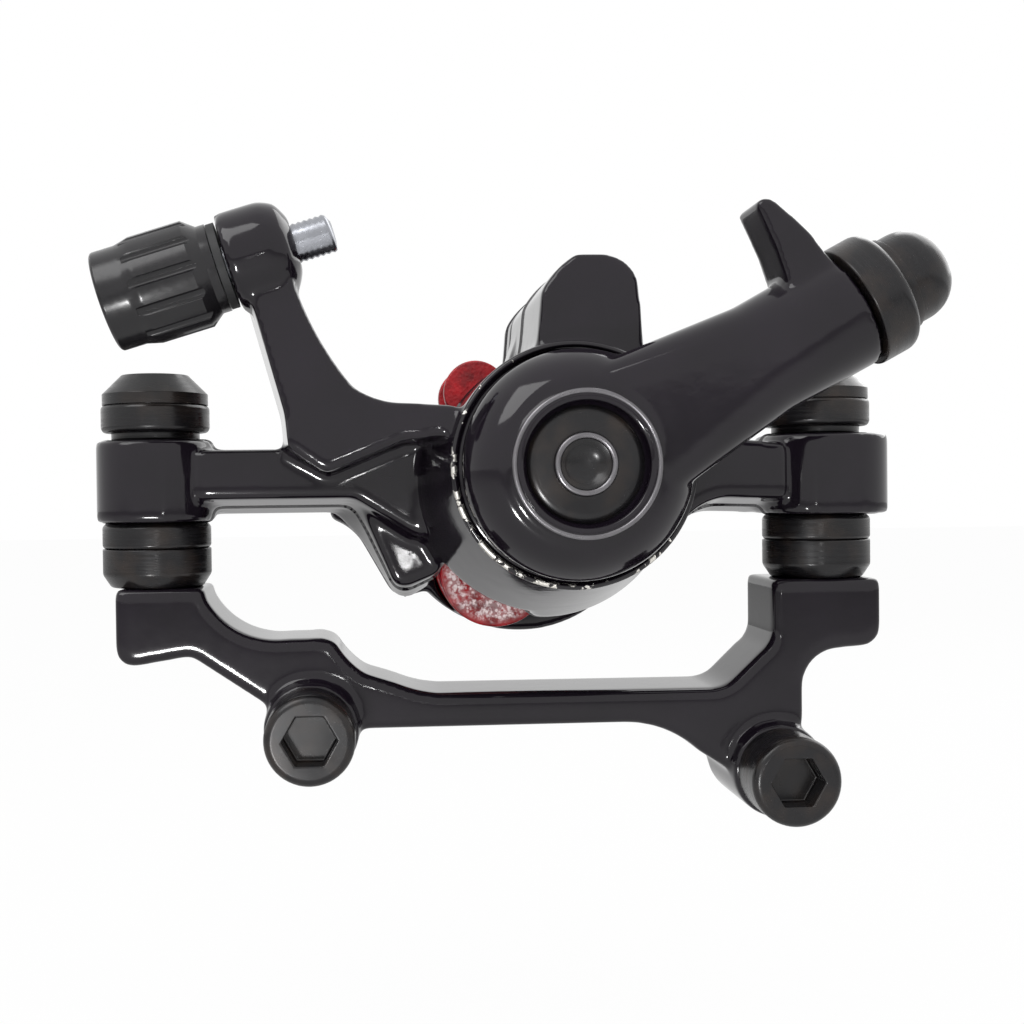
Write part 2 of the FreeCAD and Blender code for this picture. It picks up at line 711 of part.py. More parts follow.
def make_outboard():
    body = new_body("outboard_body")
    front = new_sketch(body, "XZ_Plane", s.housing_front)
    draw_circle(front, s.cam_x, s.cam_z, s.housing_radius)
    back = new_sketch(body, "XZ_Plane", s.flange_start)
    draw_circle(back, s.flange_x, s.flange_z, s.flange_radius)
    housing = body.newObject("PartDesign::AdditiveLoft", "housing_loft")
    housing.Profile = front
    housing.Sections = [back]
    disc_back(body, s.flange_x, s.flange_z, s.flange_radius, s.flange_start,
              s.slot_front - s.flange_start)

    arm_depth = s.slot_front - s.arm_front
    arm_top = s.arm_bottom + s.arm_height
    left_lug = posts_x[0] + s.lug_width / 2
    right_lug = posts_x[1] - s.lug_width / 2

    def left_arm(drop):
        return [
            (left_lug - 1, s.arm_bottom - drop), (s.cam_x - 21.7 - drop, s.arm_bottom - drop),
            (s.cam_x - 15.3 - drop, s.arm_bottom - 4.0 - drop),
            (s.flange_x - 6, s.arm_bottom - 6 - drop), (s.flange_x - 6, s.arm_bottom + 10),
            (s.cam_x - 14.7, arm_top + 3.0), (s.cam_x - 20.8, arm_top, -9), (left_lug - 1, arm_top),
        ]

    def right_arm(drop):
        return [
            (s.flange_x + 6, s.arm_bottom - 6 - drop), (s.cam_x + 14.3, s.arm_bottom - 2.6 - drop),
            (s.cam_x + 18.5, s.arm_bottom - 0.4 - drop, -7), (right_lug + 1, s.arm_bottom - 0.6 - drop),
            (right_lug + 1, arm_top), (s.flange_x + 6, arm_top + 3),
        ]

    loft_back(body, left_arm(Size(0)), left_arm(s.arm_draft), s.arm_front, arm_depth)
    loft_back(body, right_arm(Size(0)), right_arm(s.arm_draft), s.arm_front, arm_depth)
    loft_back(body, from_cam([
        (-1.405, -0.243), (-1.378, -0.378), (-1.216, -0.764), (-1.061, -0.845, 0.108), (-0.872, -0.770),
        (-0.493, -0.439), (-0.493, -0.169), (-1.405, -0.155),
    ]), from_cam([
        (-1.655, -0.304), (-1.419, -0.547), (-1.196, -0.926), (-1.047, -0.986, 0.135), (-0.865, -0.872),
        (-0.493, -0.439), (-0.493, -0.169), (-1.655, -0.155),
    ]), s.arm_front + s.foot_setback, arm_depth - s.foot_setback)
    pad_back(body, bridge_outline(s.cam_z + 5), s.bridge_front, s.slot_front - s.bridge_front)
    pad_back(body, bridge_outline(s.slot_top), s.slot_front, s.slot_back - s.slot_front)

    for x, extra in zip(posts_x, (Size(0), s.right_lug_extra)):
        lug = new_sketch(body, "XY_Plane", s.lug_bottom)
        draw_outline(lug, rounded_box(x + extra / 2, s.post_axis_y, s.lug_width + extra, s.lug_depth,
                                      s.lug_corner))
        raise_solid(body, "Pad", lug, s.lug_height)

    boss_mid = along_stop(s.boss_start + s.boss_length / 2)
    boss_edge = along_stop(s.boss_start + 0.1)
    shoulder_x = boss_edge[0] + s.boss_radius * sine(s.stop_angle)
    shoulder_z = boss_edge[2] - s.boss_radius * cosine(s.stop_angle)

    def strut(spread):
        return [
            *from_cam([
                (-1.655, -0.034), (-1.128, 0.182), (-0.628, 0.236), (-0.628, 0.412),
                (-1.101, 0.439), (-1.466, 0.547, -0.608),
            ]),
            (boss_mid[0] + 2.7, boss_mid[2] - 1.5, -32), (boss_mid[0] + 2.6, boss_mid[2] + 0.8),
            (boss_mid[0] - 3.0, boss_mid[2] - 1.0), (shoulder_x + s.strut_draft - spread, shoulder_z),
            *((x - spread, z) for x, z in from_cam([(-1.926, 0.372), (-1.905, 0.142)])),
        ]

    loft_back(body, strut(Size(0)), strut(s.strut_draft), s.strut_front, s.strut_depth)
    boss = body.newObject("PartDesign::AdditiveCylinder", "stop_boss")
    bind(boss, "Radius", s.boss_radius)
    bind(boss, "Height", s.boss_length - s.boss_round)
    place(boss, along_stop(s.boss_start), (0, 1, 0), stop_turn)
    round_start = s.boss_start + s.boss_length - s.boss_round
    for first, last, first_drop, last_drop in ((0, 0.6, 0, 0.25), (0.6, 1, 0.25, 1)):
        cone = body.newObject("PartDesign::AdditiveCone", "stop_boss_round")
        bind(cone, "Radius1", s.boss_radius - s.boss_round * first_drop)
        bind(cone, "Radius2", s.boss_radius - s.boss_round * last_drop)
        bind(cone, "Height", s.boss_round * (last - first))
        place(cone, along_stop(round_start + s.boss_round * first), (0, 1, 0), stop_turn)

    cut_outboard(body)
    return keep("outboard_body", body)


def cut_outboard(body):
    """Bores, slots and the pad's recess."""
    bore = body.newObject("PartDesign::SubtractiveCylinder", "stop_bore")
    bind(bore, "Radius", s.screw_radius + s.bolt_clearance)
    bind(bore, "Height", s.boss_length + 4)
    place(bore, along_stop(s.boss_start - 2), (0, 1, 0), stop_turn)
    disc_back(body, s.cam_x, s.cam_z, s.bush_seat_radius, s.housing_front,
              s.cavity_floor - s.housing_front + 1, "Pocket")
    disc_back(body, s.cam_x, s.cam_z, s.cavity_radius, s.cavity_floor,
              s.slot_front - s.cavity_floor + 1, "Pocket")
    recess_front = outer_backing_front - 0.2
    for x, z, radius in pad_discs(s.pad_clearance):
        disc_back(body, x, z, radius, recess_front, s.slot_front - recess_front + 1, "Pocket")
    notch = new_sketch(body, "XZ_Plane", s.arm_front + 1.3)
    draw_outline(notch, from_cam([
        (-0.966, -1.250), (0.182, -1.318), (-0.182, -1.074), (-0.439, -0.818), (-0.628, -0.723),
        (-0.824, -0.689),
    ]))
    raise_solid(body, "Pocket", notch, s.slot_front)
    key = new_sketch(body, "XZ_Plane", s.piston_front)
    draw_circle(key, s.cam_x + s.cavity_radius, s.cam_z, s.key_radius + 0.02)
    raise_solid(body, "Pocket", key, outer_backing_front - s.piston_front)
    for x in posts_x:
        slot = new_sketch(body, "XY_Plane", lug_top)
        straight = s.slot_length / 2 - s.slot_radius
        low, high = s.post_axis_y - straight, s.post_axis_y + straight
        draw_outline(slot, [
            (x + s.slot_radius, high), (x, high + s.slot_radius, s.slot_radius),
            (x - s.slot_radius, high, s.slot_radius), (x - s.slot_radius, low),
            (x, low - s.slot_radius, s.slot_radius), (x + s.slot_radius, low, s.slot_radius),
        ])
        raise_solid(body, "Pocket", slot, s.lug_height + 1)
    disc_back(body, s.body_bolt_x, s.body_bolt_z, s.body_bolt_radius + s.bolt_clearance,
              s.slot_back - 15, 16, "Pocket")
    for x in dowels_x():
        disc_back(body, x, s.dowel_z, s.dowel_radius + 0.02, s.slot_back - 4, 5, "Pocket")


def dowels_x():
    return (s.body_bolt_x - s.dowel_spread, s.body_bolt_x + s.dowel_spread)


def pad_discs(extra):
    """The three discs that make a brake pad's outline, each larger by an extra."""
    return [
        (s.flange_x, s.flange_z, s.pad_radius + extra),
        (s.lobe_x, s.lobe_z, s.lobe_radius + extra),
        (s.ear_x, s.ear_z, s.ear_radius + extra),
    ]


# Caliper body, inboard half

def make_inboard():
    body = new_body("inboard_body")
    disc_back(body, s.inner_x, s.inner_z, s.inner_radius, s.slot_back, s.inner_depth)
    pad_back(body, from_cam([
        (-1.669, -0.372), (-1.412, -0.561, -0.473), (-1.189, -0.953), (-1.020, -1.007, 0.135),
        (-0.561, -0.872),
        (-0.493, 0.439), (-0.953, 0.399), (-1.669, 0.007, -0.878),
    ]), s.slot_back, s.inner_depth - 1.4)
    pad_back(body, bridge_outline(s.inner_z + 8), s.slot_back, s.inner_depth)
    for x, z, radius in pad_discs(s.pad_clearance):
        disc_back(body, x, z, radius, s.slot_back - 1, inner_backing_back + 0.2 - s.slot_back + 1, "Pocket")
    disc_back(body, s.cam_x, s.cam_z, s.plunger_radius + s.plunger_clearance, s.slot_back,
              inner_back - s.slot_back - 1.6, "Pocket")
    disc_back(body, s.cam_x, s.cam_z, s.stem_radius + 0.3, s.slot_back, s.inner_depth + 1, "Pocket")
    disc_back(body, s.body_bolt_x, s.body_bolt_z, s.body_bolt_radius + s.bolt_clearance,
              s.slot_back - 1, s.inner_depth + 2, "Pocket")
    disc_back(body, s.body_bolt_x, s.body_bolt_z, s.body_head_radius + 0.25,
              inner_back - 2.4, 4, "Pocket")
    for x in dowels_x():
        disc_back(body, x, s.dowel_z, s.dowel_radius + 0.02, s.slot_back - 1, 4.2, "Pocket")
    return keep("inboard_body", body)


def make_body_fasteners():
    seat = inner_back - 2.4
    shank = seat - s.slot_back + 14
    bolt = socket_bolt("body_bolt", (s.body_bolt_x, seat, s.body_bolt_z), (1, 0, 0), 90,
                       s.body_head_radius, s.body_head_height, s.body_bolt_radius, shank, 0.6)
    keep("body_bolt", bolt)
    pins = []
    for i, x in enumerate(dowels_x()):
        pin = new_body(f"dowel_{i}")
        disc_back(pin, x, s.dowel_z, s.dowel_radius, s.slot_back - 3.8, 6.8)
        pins.append(pin)
    keep("dowel_pins", group("dowel_pins", pins))


# Ball ramp drive: the lever turns the cam, and the balls push the piston

def ball_places(extra_turn=0.0):
    """Angles of the balls about the cam's axis, in degrees."""
    count = int(s.ball_count.value)
    return [90 + 360 * i / count + extra_turn for i in range(count)]


def make_cam():
    body = new_body("drive_cam", cam_at)
    face = s.cavity_floor + 1 + s.cam_depth
    turn_profile(body, "XY_Plane", [
        (0, s.recess_floor + 6), (1.55, s.recess_floor + 6), (1.55, s.recess_floor + 0.2),
        (s.shaft_radius, s.recess_floor + 0.2), (s.shaft_radius, face - s.cam_depth),
        (s.cam_radius, face - s.cam_depth), (s.cam_radius, face), (0, face),
    ])
    for turn in ball_places():
        pocket = body.newObject("PartDesign::SubtractiveSphere", "ball_seat")
        bind(pocket, "Radius", s.ball_radius + 0.03)
        place(pocket, ball_centre(turn))
    return keep("drive_cam", body)


def ball_centre(turn):
    angle = Size(turn)
    return (s.ball_pitch * cosine(angle), s.cavity_floor + 1 + s.cam_depth + s.ball_seat,
            s.ball_pitch * sine(angle))


def make_balls():
    balls = []
    for i, turn in enumerate(ball_places()):
        ball = doc.addObject("Part::Sphere", f"ball_{i}")
        bind(ball, "Radius", s.ball_radius)
        x, y, z = ball_centre(turn)
        place(ball, (x + s.cam_x, y, z + s.cam_z))
        balls.append(ball)
    return keep("ramp_balls", group("ramp_balls", balls))


def ramp_cutter(turn):
    """The path of a ball in the piston, as a solid: a tube along a part of a helix."""
    tube = s.ball_radius.value + s.ramp_clearance.value
    pitch_radius = s.ball_pitch.value
    swing = math.radians(s.lever_swing.value)
    drop = s.ramp_travel.value
    centre_y = s.cavity_floor.value + 1 + s.cam_depth.value + s.ball_seat.value
    steps = 6

    def at(share):
        angle = math.radians(turn) + swing * share
        return FreeCAD.Vector(pitch_radius * math.cos(angle), centre_y - drop * share,
                              pitch_radius * math.sin(angle))

    path = Part.BSplineCurve()
    path.interpolate([at(i / steps) for i in range(steps + 1)])
    edge = path.toShape()
    start = path.value(path.FirstParameter)
    direction = path.tangent(path.FirstParameter)[0]
    ring = Part.Wire([Part.makeCircle(tube, start, direction)])
    shell = Part.BRepOffsetAPI.MakePipeShell(Part.Wire([edge]))
    shell.setFrenetMode(True)
    shell.add(ring)
    shell.build()
    shell.makeSolid()
    ends = [Part.makeSphere(tube, at(0)), Part.makeSphere(tube, at(1))]
    return shell.shape().fuse(ends)


def make_piston():
    blank = new_body("piston_blank")
    depth = outer_backing_front - s.piston_front
    turn_profile(blank, "XY_Plane", [
        (0, s.piston_front), (s.piston_radius - 0.4, s.piston_front),
        (s.piston_radius, s.piston_front + 0.4), (s.piston_radius, outer_backing_front),
        (s.magnet_radius + s.bolt_clearance, outer_backing_front),
        (s.magnet_radius + s.bolt_clearance, outer_backing_front - s.magnet_depth),
        (0, outer_backing_front - s.magnet_depth),
    ])
    keyway = new_sketch(blank, "XZ_Plane", s.piston_front)
    draw_circle(keyway, s.cavity_radius, 0, s.key_radius + 0.12)
    raise_solid(blank, "Pocket", keyway, depth + 1)
    doc.recompute()
    shape = blank.Shape
    for turn in ball_places():
        shape = shape.cut(ramp_cutter(turn))
    piston = doc.addObject("Part::Feature", "piston")
    piston.Label = "piston"
    piston.Shape = shape
    place(piston, cam_at)
    return keep("piston", piston)


def make_drive_parts():
    bush = new_body("shaft_bush", cam_at)
    turn_profile(bush, "XY_Plane", [
        (s.bush_inner, s.housing_front), (s.bush_outer, s.housing_front),
        (s.bush_outer, s.cavity_floor), (s.bush_inner, s.cavity_floor),
    ])
    keep("shaft_bush", bush)
    thrust = new_body("thrust_washer", cam_at)
    turn_profile(thrust, "XY_Plane", [
        (s.shaft_radius + 0.3, s.cavity_floor), (s.thrust_radius, s.cavity_floor),
        (s.thrust_radius, s.cavity_floor + 0.9), (s.shaft_radius + 0.3, s.cavity_floor + 0.9),
    ])
    keep("thrust_washer", thrust)
    seal = new_body("dust_seal", cam_at)
    turn_profile(seal, "XY_Plane", [
        (s.shaft_radius + 0.15, s.housing_front - 0.5), (s.bush_outer + 1.2, s.housing_front - 0.5),
        (s.bush_outer + 1.5, s.housing_front), (s.shaft_radius + 0.15, s.housing_front),
    ])
    keep("dust_seal", seal)
    key = new_body("piston_key")
    disc_back(key, s.cam_x + s.cavity_radius, s.cam_z, s.key_radius, s.piston_front + 0.1,
              outer_backing_front - s.piston_front - 0.3)
    keep("piston_key", key)
    magnet = new_body("pad_magnet", cam_at)
    disc_back(magnet, 0, 0, s.magnet_radius, outer_backing_front - s.magnet_depth + 0.05,
              s.magnet_depth - 0.05)
    keep("pad_magnet", magnet)


# Brake pads

def make_pads():
    levels = {
        "outer": (outer_backing_front, outer_backing_front + s.backing_depth),
        "inner": (inner_friction_face + s.friction_depth, inner_friction_face),
    }
    for side, (backing, friction) in levels.items():
        plate = new_body(f"{side}_pad_backing")
        for x, z, radius in pad_discs(0):
            disc_back(plate, x, z, radius, backing, s.backing_depth)
        keep(f"{side}_pad_backing", plate)
        block = new_body(f"{side}_pad_friction")
        for x, z, radius in pad_discs(-s.friction_margin)[:2]:
            disc_back(block, x, z, radius, friction, s.friction_depth)
        keep(f"{side}_pad_friction", block)


def make_pad_spring():
    body = new_body("pad_spring")
    thick = 0.4
    roof, low = s.slot_top, s.slot_top - 1.5
    front, back = s.slot_front + 0.9, s.slot_back - 0.9
    sketch = new_sketch(body, "YZ_Plane", s.cam_x)
    draw_outline(sketch, [
        (front, low), (front + thick, low), (front + thick + 0.8, roof - thick),
        (back - thick - 0.8, roof - thick), (back - thick, low), (back, low),
        (back - 0.6, roof), (front + 0.6, roof),
    ])
    raise_solid(body, "Pad", sketch, 5.5)
    return keep("pad_spring", body)


# Inboard adjuster: the dial turns in place and its thread drives the plunger

def make_adjuster():
    plunger = new_body("adjuster_plunger", cam_at)
    turn_profile(plunger, "XY_Plane", [
        (0, inner_backing_back), (s.plunger_radius, inner_backing_back),
        (s.plunger_radius, inner_backing_back + 3.4), (s.stem_radius + 0.05, inner_backing_back + 3.4),
        (s.stem_radius + 0.05, inner_backing_back + 1.2), (0, inner_backing_back + 1.2),
    ])
    keep("adjuster_plunger", plunger)

    dial = new_body("adjuster_dial", cam_at)
    face = inner_back + s.dial_gap
    back = face + s.dial_depth
    turn_profile(dial, "XY_Plane", [
        (0, inner_backing_back + 1.5), (s.stem_radius, inner_backing_back + 1.5), (s.stem_radius, face),
        (s.dial_radius, face), (s.dial_radius, back - 0.8), (s.dial_radius - 0.8, back), (0, back),
    ])
    notch = new_sketch(dial, "XZ_Plane", back)
    draw_circle(notch, s.dial_radius + 0.3, 0, s.notch_radius)
    cut = raise_solid(dial, "Pocket", notch, s.dial_depth, reverse=True)
    repeat_round(dial, cut, notch, s.dial_notches)
    socket = new_sketch(dial, "XZ_Plane", back)
    draw_outline(socket, hexagon(s.hex_width))
    raise_solid(dial, "Pocket", socket, s.hex_depth, reverse=True)
    keep("adjuster_dial", dial)


# Cable stop barrel: the knob and its screw turn in the boss, over a detent ring

def make_barrel():
    knob = new_body("barrel_knob", stop_at, (0, 1, 0), stop_turn)
    grip_end = s.knob_length - 2.2
    turn_profile(knob, "XZ_Plane", [
        (s.seat_radius, 0), (s.knob_radius - 0.4, 0), (s.knob_radius, 0.4, 0.4),
        (s.knob_radius, s.knob_plain), (s.flute_radius, s.knob_plain + 1.6),
        (s.flute_radius, grip_end), (s.knob_neck, s.knob_length - 0.9), (s.knob_neck, s.knob_length),
        (s.screw_radius + 0.03, s.knob_length), (s.screw_radius + 0.03, s.seat_depth),
        (s.seat_radius, s.seat_depth),
    ])
    groove = new_sketch(knob, "XY_Plane", s.knob_plain + 0.6)
    draw_circle(groove, s.flute_radius + 0.2, 0, s.flute_cut)
    cut = raise_solid(knob, "Pocket", groove, s.knob_length, reverse=True)
    repeat_round(knob, cut, groove, s.flute_count)
    keep("barrel_knob", knob)

    screw = new_body("barrel_screw", stop_at, (0, 1, 0), stop_turn)
    tip = s.boss_start + s.boss_length + s.screw_out
    turn_profile(screw, "XZ_Plane", [
        (s.cable_hole, s.seat_depth), (s.screw_radius, s.seat_depth),
        (s.screw_radius, tip - 0.4), (s.screw_radius - 0.4, tip), (s.cable_hole, tip),
    ])
    keep("barrel_screw", screw)

    ring = new_body("detent_ring", stop_at, (0, 1, 0), stop_turn)
    turn_profile(ring, "XZ_Plane", [
        (s.screw_radius + 0.1, s.knob_length + 0.1), (s.ring_radius, s.knob_length + 0.1),
        (s.ring_radius, s.knob_length + s.ring_height), (s.screw_radius + 0.1, s.knob_length + s.ring_height),
    ])
    keep("detent_ring", ring)


# Lever, in its own frame: local X runs along the arm

def make_lever():
    body = new_body("lever_arm", cam_at, (0, 1, 0), lever_turn)
    arm_sections = [
        (s.arm_root, s.arm_root_width, s.arm_root_depth, 2.6),
        (s.arm_waist, s.arm_waist_width, s.arm_waist_depth, 4.2),
        (s.arm_end, s.arm_end_width, s.arm_end_width, 5.5),
    ]
    sketches = []
    for level, width, depth, corner in arm_sections:
        section = new_sketch(body, "YZ_Plane", level)
        draw_outline(section, rounded_box(s.arm_middle_y, s.arm_offset, depth, width, Size(corner)))
        sketches.append(section)
    arm = body.newObject("PartDesign::AdditiveLoft", "arm_loft")
    arm.Profile = sketches[0]
    arm.Sections = sketches[1:]
    arm.Ruled = True

    shoulder = s.hub_back - 2.2
    turn_profile(body, "XY_Plane", [
        (0, s.hub_back), (0, s.hub_front), (s.rim_outer + 1.2, s.hub_front),
        (s.hub_radius, shoulder, s.hub_back - s.hub_front), (s.hub_radius, s.hub_back),
    ])
    pad_back(body, [
        (s.fin_start, s.arm_offset + 4.0), (s.fin_start + 5.2, s.arm_offset + 4.2),
        (s.fin_start + 4.4, 8.5, -14), (s.fin_start + 3.6, s.fin_top - 3.0),
        (s.fin_start + 2.8, s.fin_top - 1.0), (s.fin_start + 1.1, s.fin_top - 0.4, 1.1),
        (s.fin_start + 0.8, 9.0),
    ], s.arm_middle_y - s.fin_depth / 2, s.fin_depth)

    turn_profile(body, "XY_Plane", [
        (0, s.hub_front - 3), (s.recess_radius, s.hub_front - 3), (s.recess_radius, s.recess_floor),
        (0, s.recess_floor),
    ], "Groove")
    turn_profile(body, "XY_Plane", [
        (s.spring_inner, s.hub_back - s.spring_room), (s.spring_outer, s.hub_back - s.spring_room),
        (s.spring_outer, s.hub_back + 1), (s.spring_inner, s.hub_back + 1),
    ], "Groove")
    shaft = new_sketch(body, "XZ_Plane", s.hub_front)
    draw_circle(shaft, 0, 0, s.shaft_radius + s.bolt_clearance)
    raise_solid(body, "Pocket", shaft, 12)
    thread = new_sketch(body, "YZ_Plane", s.arm_end)
    draw_circle(thread, s.arm_middle_y, s.arm_offset, s.clamp_shank + s.bolt_clearance)
    raise_solid(body, "Pocket", thread, s.clamp_depth + 0.5)
    rim = new_sketch(body, "XZ_Plane", s.rim_front)
    draw_circle(rim, 0, 0, s.rim_outer)
    draw_circle(rim, 0, 0, s.rim_inner)
    raise_solid(body, "Pad", rim, s.hub_front - s.rim_front + 0.3, reverse=True)
    return keep("lever_arm", body)


def make_lever_parts():
    bolt = new_body("lever_bolt", cam_at)
    seat = s.recess_floor
    turn_profile(bolt, "XY_Plane", [
        (0, seat - 0.3), (s.bolt_ring - 0.55, seat - 1.2), (s.bolt_ring, seat - 1.2),
        (s.bolt_ring + 0.2, seat - 0.6), (s.bolt_flange, seat - 0.6), (s.bolt_flange, seat - 0.02),
        (1.5, seat - 0.02), (1.5, seat + 5.5), (0, seat + 5.5),
    ])
    keep("lever_bolt", bolt)

    axis = (s.arm_middle_y, s.arm_offset)
    start = s.arm_end + s.collar_gap
    collar = new_body("clamp_washer", cam_at, (0, 1, 0), lever_turn)
    ring = new_sketch(collar, "YZ_Plane", start)
    draw_circle(ring, *axis, s.collar_radius)
    draw_circle(ring, *axis, s.clamp_shank + 0.1)
    raise_solid(collar, "Pad", ring, s.collar_length)
    under = start + s.collar_length
    soften(collar, "Fillet", s.collar_round, lambda edge: (
        abs(edge.CenterOfMass.x - under.value) < 0.01 and edge.Length > 6 * s.clamp_neck_radius.value))
    keep("clamp_washer", collar)

    clamp = new_body("clamp_bolt", cam_at, (0, 1, 0), lever_turn)
    neck = new_sketch(clamp, "YZ_Plane", under)
    draw_circle(neck, *axis, s.clamp_neck_radius)
    raise_solid(clamp, "Pad", neck, 0.9)
    dome = new_sketch(clamp, "YZ_Plane", under + 0.9)
    draw_circle(dome, *axis, s.dome_radius)
    raise_solid(clamp, "Pad", dome, s.dome_length - 0.9)
    shank = new_sketch(clamp, "YZ_Plane", s.arm_end - s.clamp_depth + 0.5)
    draw_circle(shank, *axis, s.clamp_shank)
    raise_solid(clamp, "Pad", shank, under - s.arm_end + s.clamp_depth)
    end = under + s.dome_length
    soften(clamp, "Fillet", s.dome_round, lambda edge: abs(edge.CenterOfMass.x - end.value) < 0.01)
    socket = new_sketch(clamp, "YZ_Plane", end)
    points = [(y + axis[0], z + axis[1]) for y, z in hexagon(s.hex_width - 2)]
    draw_outline(socket, points)
    raise_solid(clamp, "Pocket", socket, s.hex_depth)
    keep("clamp_bolt", clamp)


def two_arcs(start, along_start, stop, along_stop_point):
    """Two arcs that join two points smoothly, each with its given direction."""
    reach = stop - start
    both = along_start + along_stop_point
    curve = 2 * (1 - along_start.dot(along_stop_point))
    size = (-reach.dot(both) + math.sqrt(reach.dot(both) ** 2 + curve * reach.dot(reach))) / curve
    first_corner = start + along_start * size
    last_corner = stop - along_stop_point * size
    joint = (first_corner + last_corner) * 0.5
    arcs = []
    for a, corner, b in ((start, first_corner, joint), (joint, last_corner, stop)):
        middle = (a + b) * 0.5
        half = (b - a).Length / 2
        turn = math.atan2((corner - middle).Length, half)
        rise = half * math.tan(turn / 2)
        arcs.append(Part.Arc(a, middle + (corner - middle).normalize() * rise, b).toShape())
    return arcs


def make_return_spring():
    """A torsion spring of round wire in the hub's groove: one tube along quarter turns."""
    wire, turns = s.spring_wire.value, s.spring_turns.value
    coil = (s.spring_inner.value + s.spring_outer.value) / 2
    low = s.hub_back.value - s.spring_room.value + 0.25 + wire
    high = s.housing_front.value - 0.25 - wire
    pitch = (high - low) / turns
    quarters = round(4 * turns)

    def on_coil(quarter):
        angle = math.pi / 2 * quarter
        point = FreeCAD.Vector(coil * math.cos(angle), low + pitch * quarter / 4, coil * math.sin(angle))
        along = FreeCAD.Vector(-coil * math.sin(angle), pitch / (2 * math.pi), coil * math.cos(angle))
        return point, along.normalize()

    edges = []
    for quarter in range(quarters):
        edges += two_arcs(*on_coil(quarter), *on_coil(quarter + 1))
    start, along = on_coil(0)
    shell = Part.BRepOffsetAPI.MakePipeShell(Part.Wire(edges))
    shell.add(Part.Wire([Part.makeCircle(wire, start, along)]))
    shell.build()
    shell.makeSolid()
    spring = doc.addObject("Part::Feature", "return_spring")
    spring.Label = "return_spring"
    spring.Shape = shell.shape()
    share = spring.Shape.Volume / (math.pi * wire ** 2 * sum(edge.Length for edge in edges))
    print(f"return spring: least gap between its turns {pitch - 2 * wire:.2f} mm, volume share {share:.4f}")
    place(spring, cam_at)
    return keep("return_spring", spring)


make_adapter()
make_tab_bolts()
make_post_bolts()
make_washers()
make_outboard()
make_inboard()
make_body_fasteners()
make_cam()
make_balls()
make_piston()
make_drive_parts()
make_pads()
make_pad_spring()
make_adjuster()
make_barrel()
make_lever()
make_lever_parts()
make_return_spring()


# Checks, then one file for each sub-part

doc.recompute()
for thing in doc.Objects:
    faults = [state for state in thing.State if state in ("Invalid", "Error")]
    if faults:
        raise RuntimeError(f"{thing.Label} is {faults}")
os.makedirs("parts", exist_ok=True)
for label, thing in sub_parts.items():
    shape = thing.Shape
    if shape.isNull() or not shape.isValid():
        raise RuntimeError(f"{label} has no valid shape")
    print(f"{label}: {len(shape.Solids)} solid, volume {shape.Volume:.2f}")
    shape.exportStep(f"parts/{label}.step")
print(f"{len(sub_parts)} sub-parts")
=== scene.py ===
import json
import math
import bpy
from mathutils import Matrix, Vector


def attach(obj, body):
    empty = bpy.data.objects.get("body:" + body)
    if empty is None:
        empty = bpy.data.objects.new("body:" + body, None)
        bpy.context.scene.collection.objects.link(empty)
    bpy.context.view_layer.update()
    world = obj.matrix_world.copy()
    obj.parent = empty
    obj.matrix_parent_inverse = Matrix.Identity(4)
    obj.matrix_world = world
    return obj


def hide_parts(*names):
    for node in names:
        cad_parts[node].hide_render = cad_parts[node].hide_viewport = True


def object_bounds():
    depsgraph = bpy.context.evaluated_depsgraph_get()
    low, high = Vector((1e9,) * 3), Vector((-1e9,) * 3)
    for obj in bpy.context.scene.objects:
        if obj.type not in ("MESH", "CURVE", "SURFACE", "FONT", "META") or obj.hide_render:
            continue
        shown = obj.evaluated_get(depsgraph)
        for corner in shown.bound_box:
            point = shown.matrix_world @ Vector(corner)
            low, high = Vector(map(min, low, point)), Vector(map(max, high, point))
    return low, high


bl_info = {
    "name": "Disc brake caliper",
    "version": (1, 0, 0),
    "blender": (4, 5, 0),
    "location": "3D View > Sidebar > Caliper",
    "description": "Dresses the packed disc brake caliper with its shapes, finishes and studio",
    "category": "Object",
}

import bmesh
import bpy
from mathutils import Matrix, Vector

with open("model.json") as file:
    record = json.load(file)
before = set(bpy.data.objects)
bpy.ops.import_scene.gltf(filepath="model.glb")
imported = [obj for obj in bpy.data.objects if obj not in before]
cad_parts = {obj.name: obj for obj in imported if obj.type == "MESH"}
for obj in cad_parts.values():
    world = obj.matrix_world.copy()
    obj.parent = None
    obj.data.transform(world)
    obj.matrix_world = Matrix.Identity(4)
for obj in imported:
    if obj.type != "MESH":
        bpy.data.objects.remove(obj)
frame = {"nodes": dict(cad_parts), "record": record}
CAD_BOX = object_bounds()

MM = 0.001

# Places and sizes from the CAD, in mm, with Y as the depth behind the front

# The cam's axis, which runs along Y, and what stands on it
CAM_X, CAM_Z = 1.3, 30.5
HOUSING_FRONT = -11.7
BEAD_RADIUS = 11.95
BEAD_DEPTH = HOUSING_FRONT - 0.1
BOLT_BACK = -12.9
BOLT_OUTLINE = ((0, 0), (2.4, 0), (2.4, 4.2), (5.2, 4.2), (5.6, 4.5), (5.6, 5.2), (5.3, 5.5),
                (4.6, 5.55), (3.3, 5.6), (2.3, 5.6), (1.9, 5.1), (1.0, 4.8), (0, 4.7))
# The thin steel ring on the bolt's raised rim, which carries a painted highlight
BOLT_RING_RADIUS, BOLT_RING_THICKNESS = 2.72, 0.34
BOLT_RING_DEPTH = BOLT_BACK - 5.72
HUB_RING_OUTLINE = ((5.95, 0), (5.95, 1.0), (6.1, 1.2), (6.75, 1.2), (6.9, 1.0), (6.95, 0))
HUB_RING_BACK = -18.3
# The thin steel ring on the hub ring's crest, which carries a painted highlight
HUB_EDGE_RADIUS, HUB_EDGE_THICKNESS = 6.83, 0.26
HUB_EDGE_DEPTH = -19.36

# Depths at which the moulds of the castings closed, and half the width of the line that is left
PARTING_LINES = {"outboard_body": 6.6, "inboard_body": 23.4}
PARTING_HALF_WIDTH = 0.22

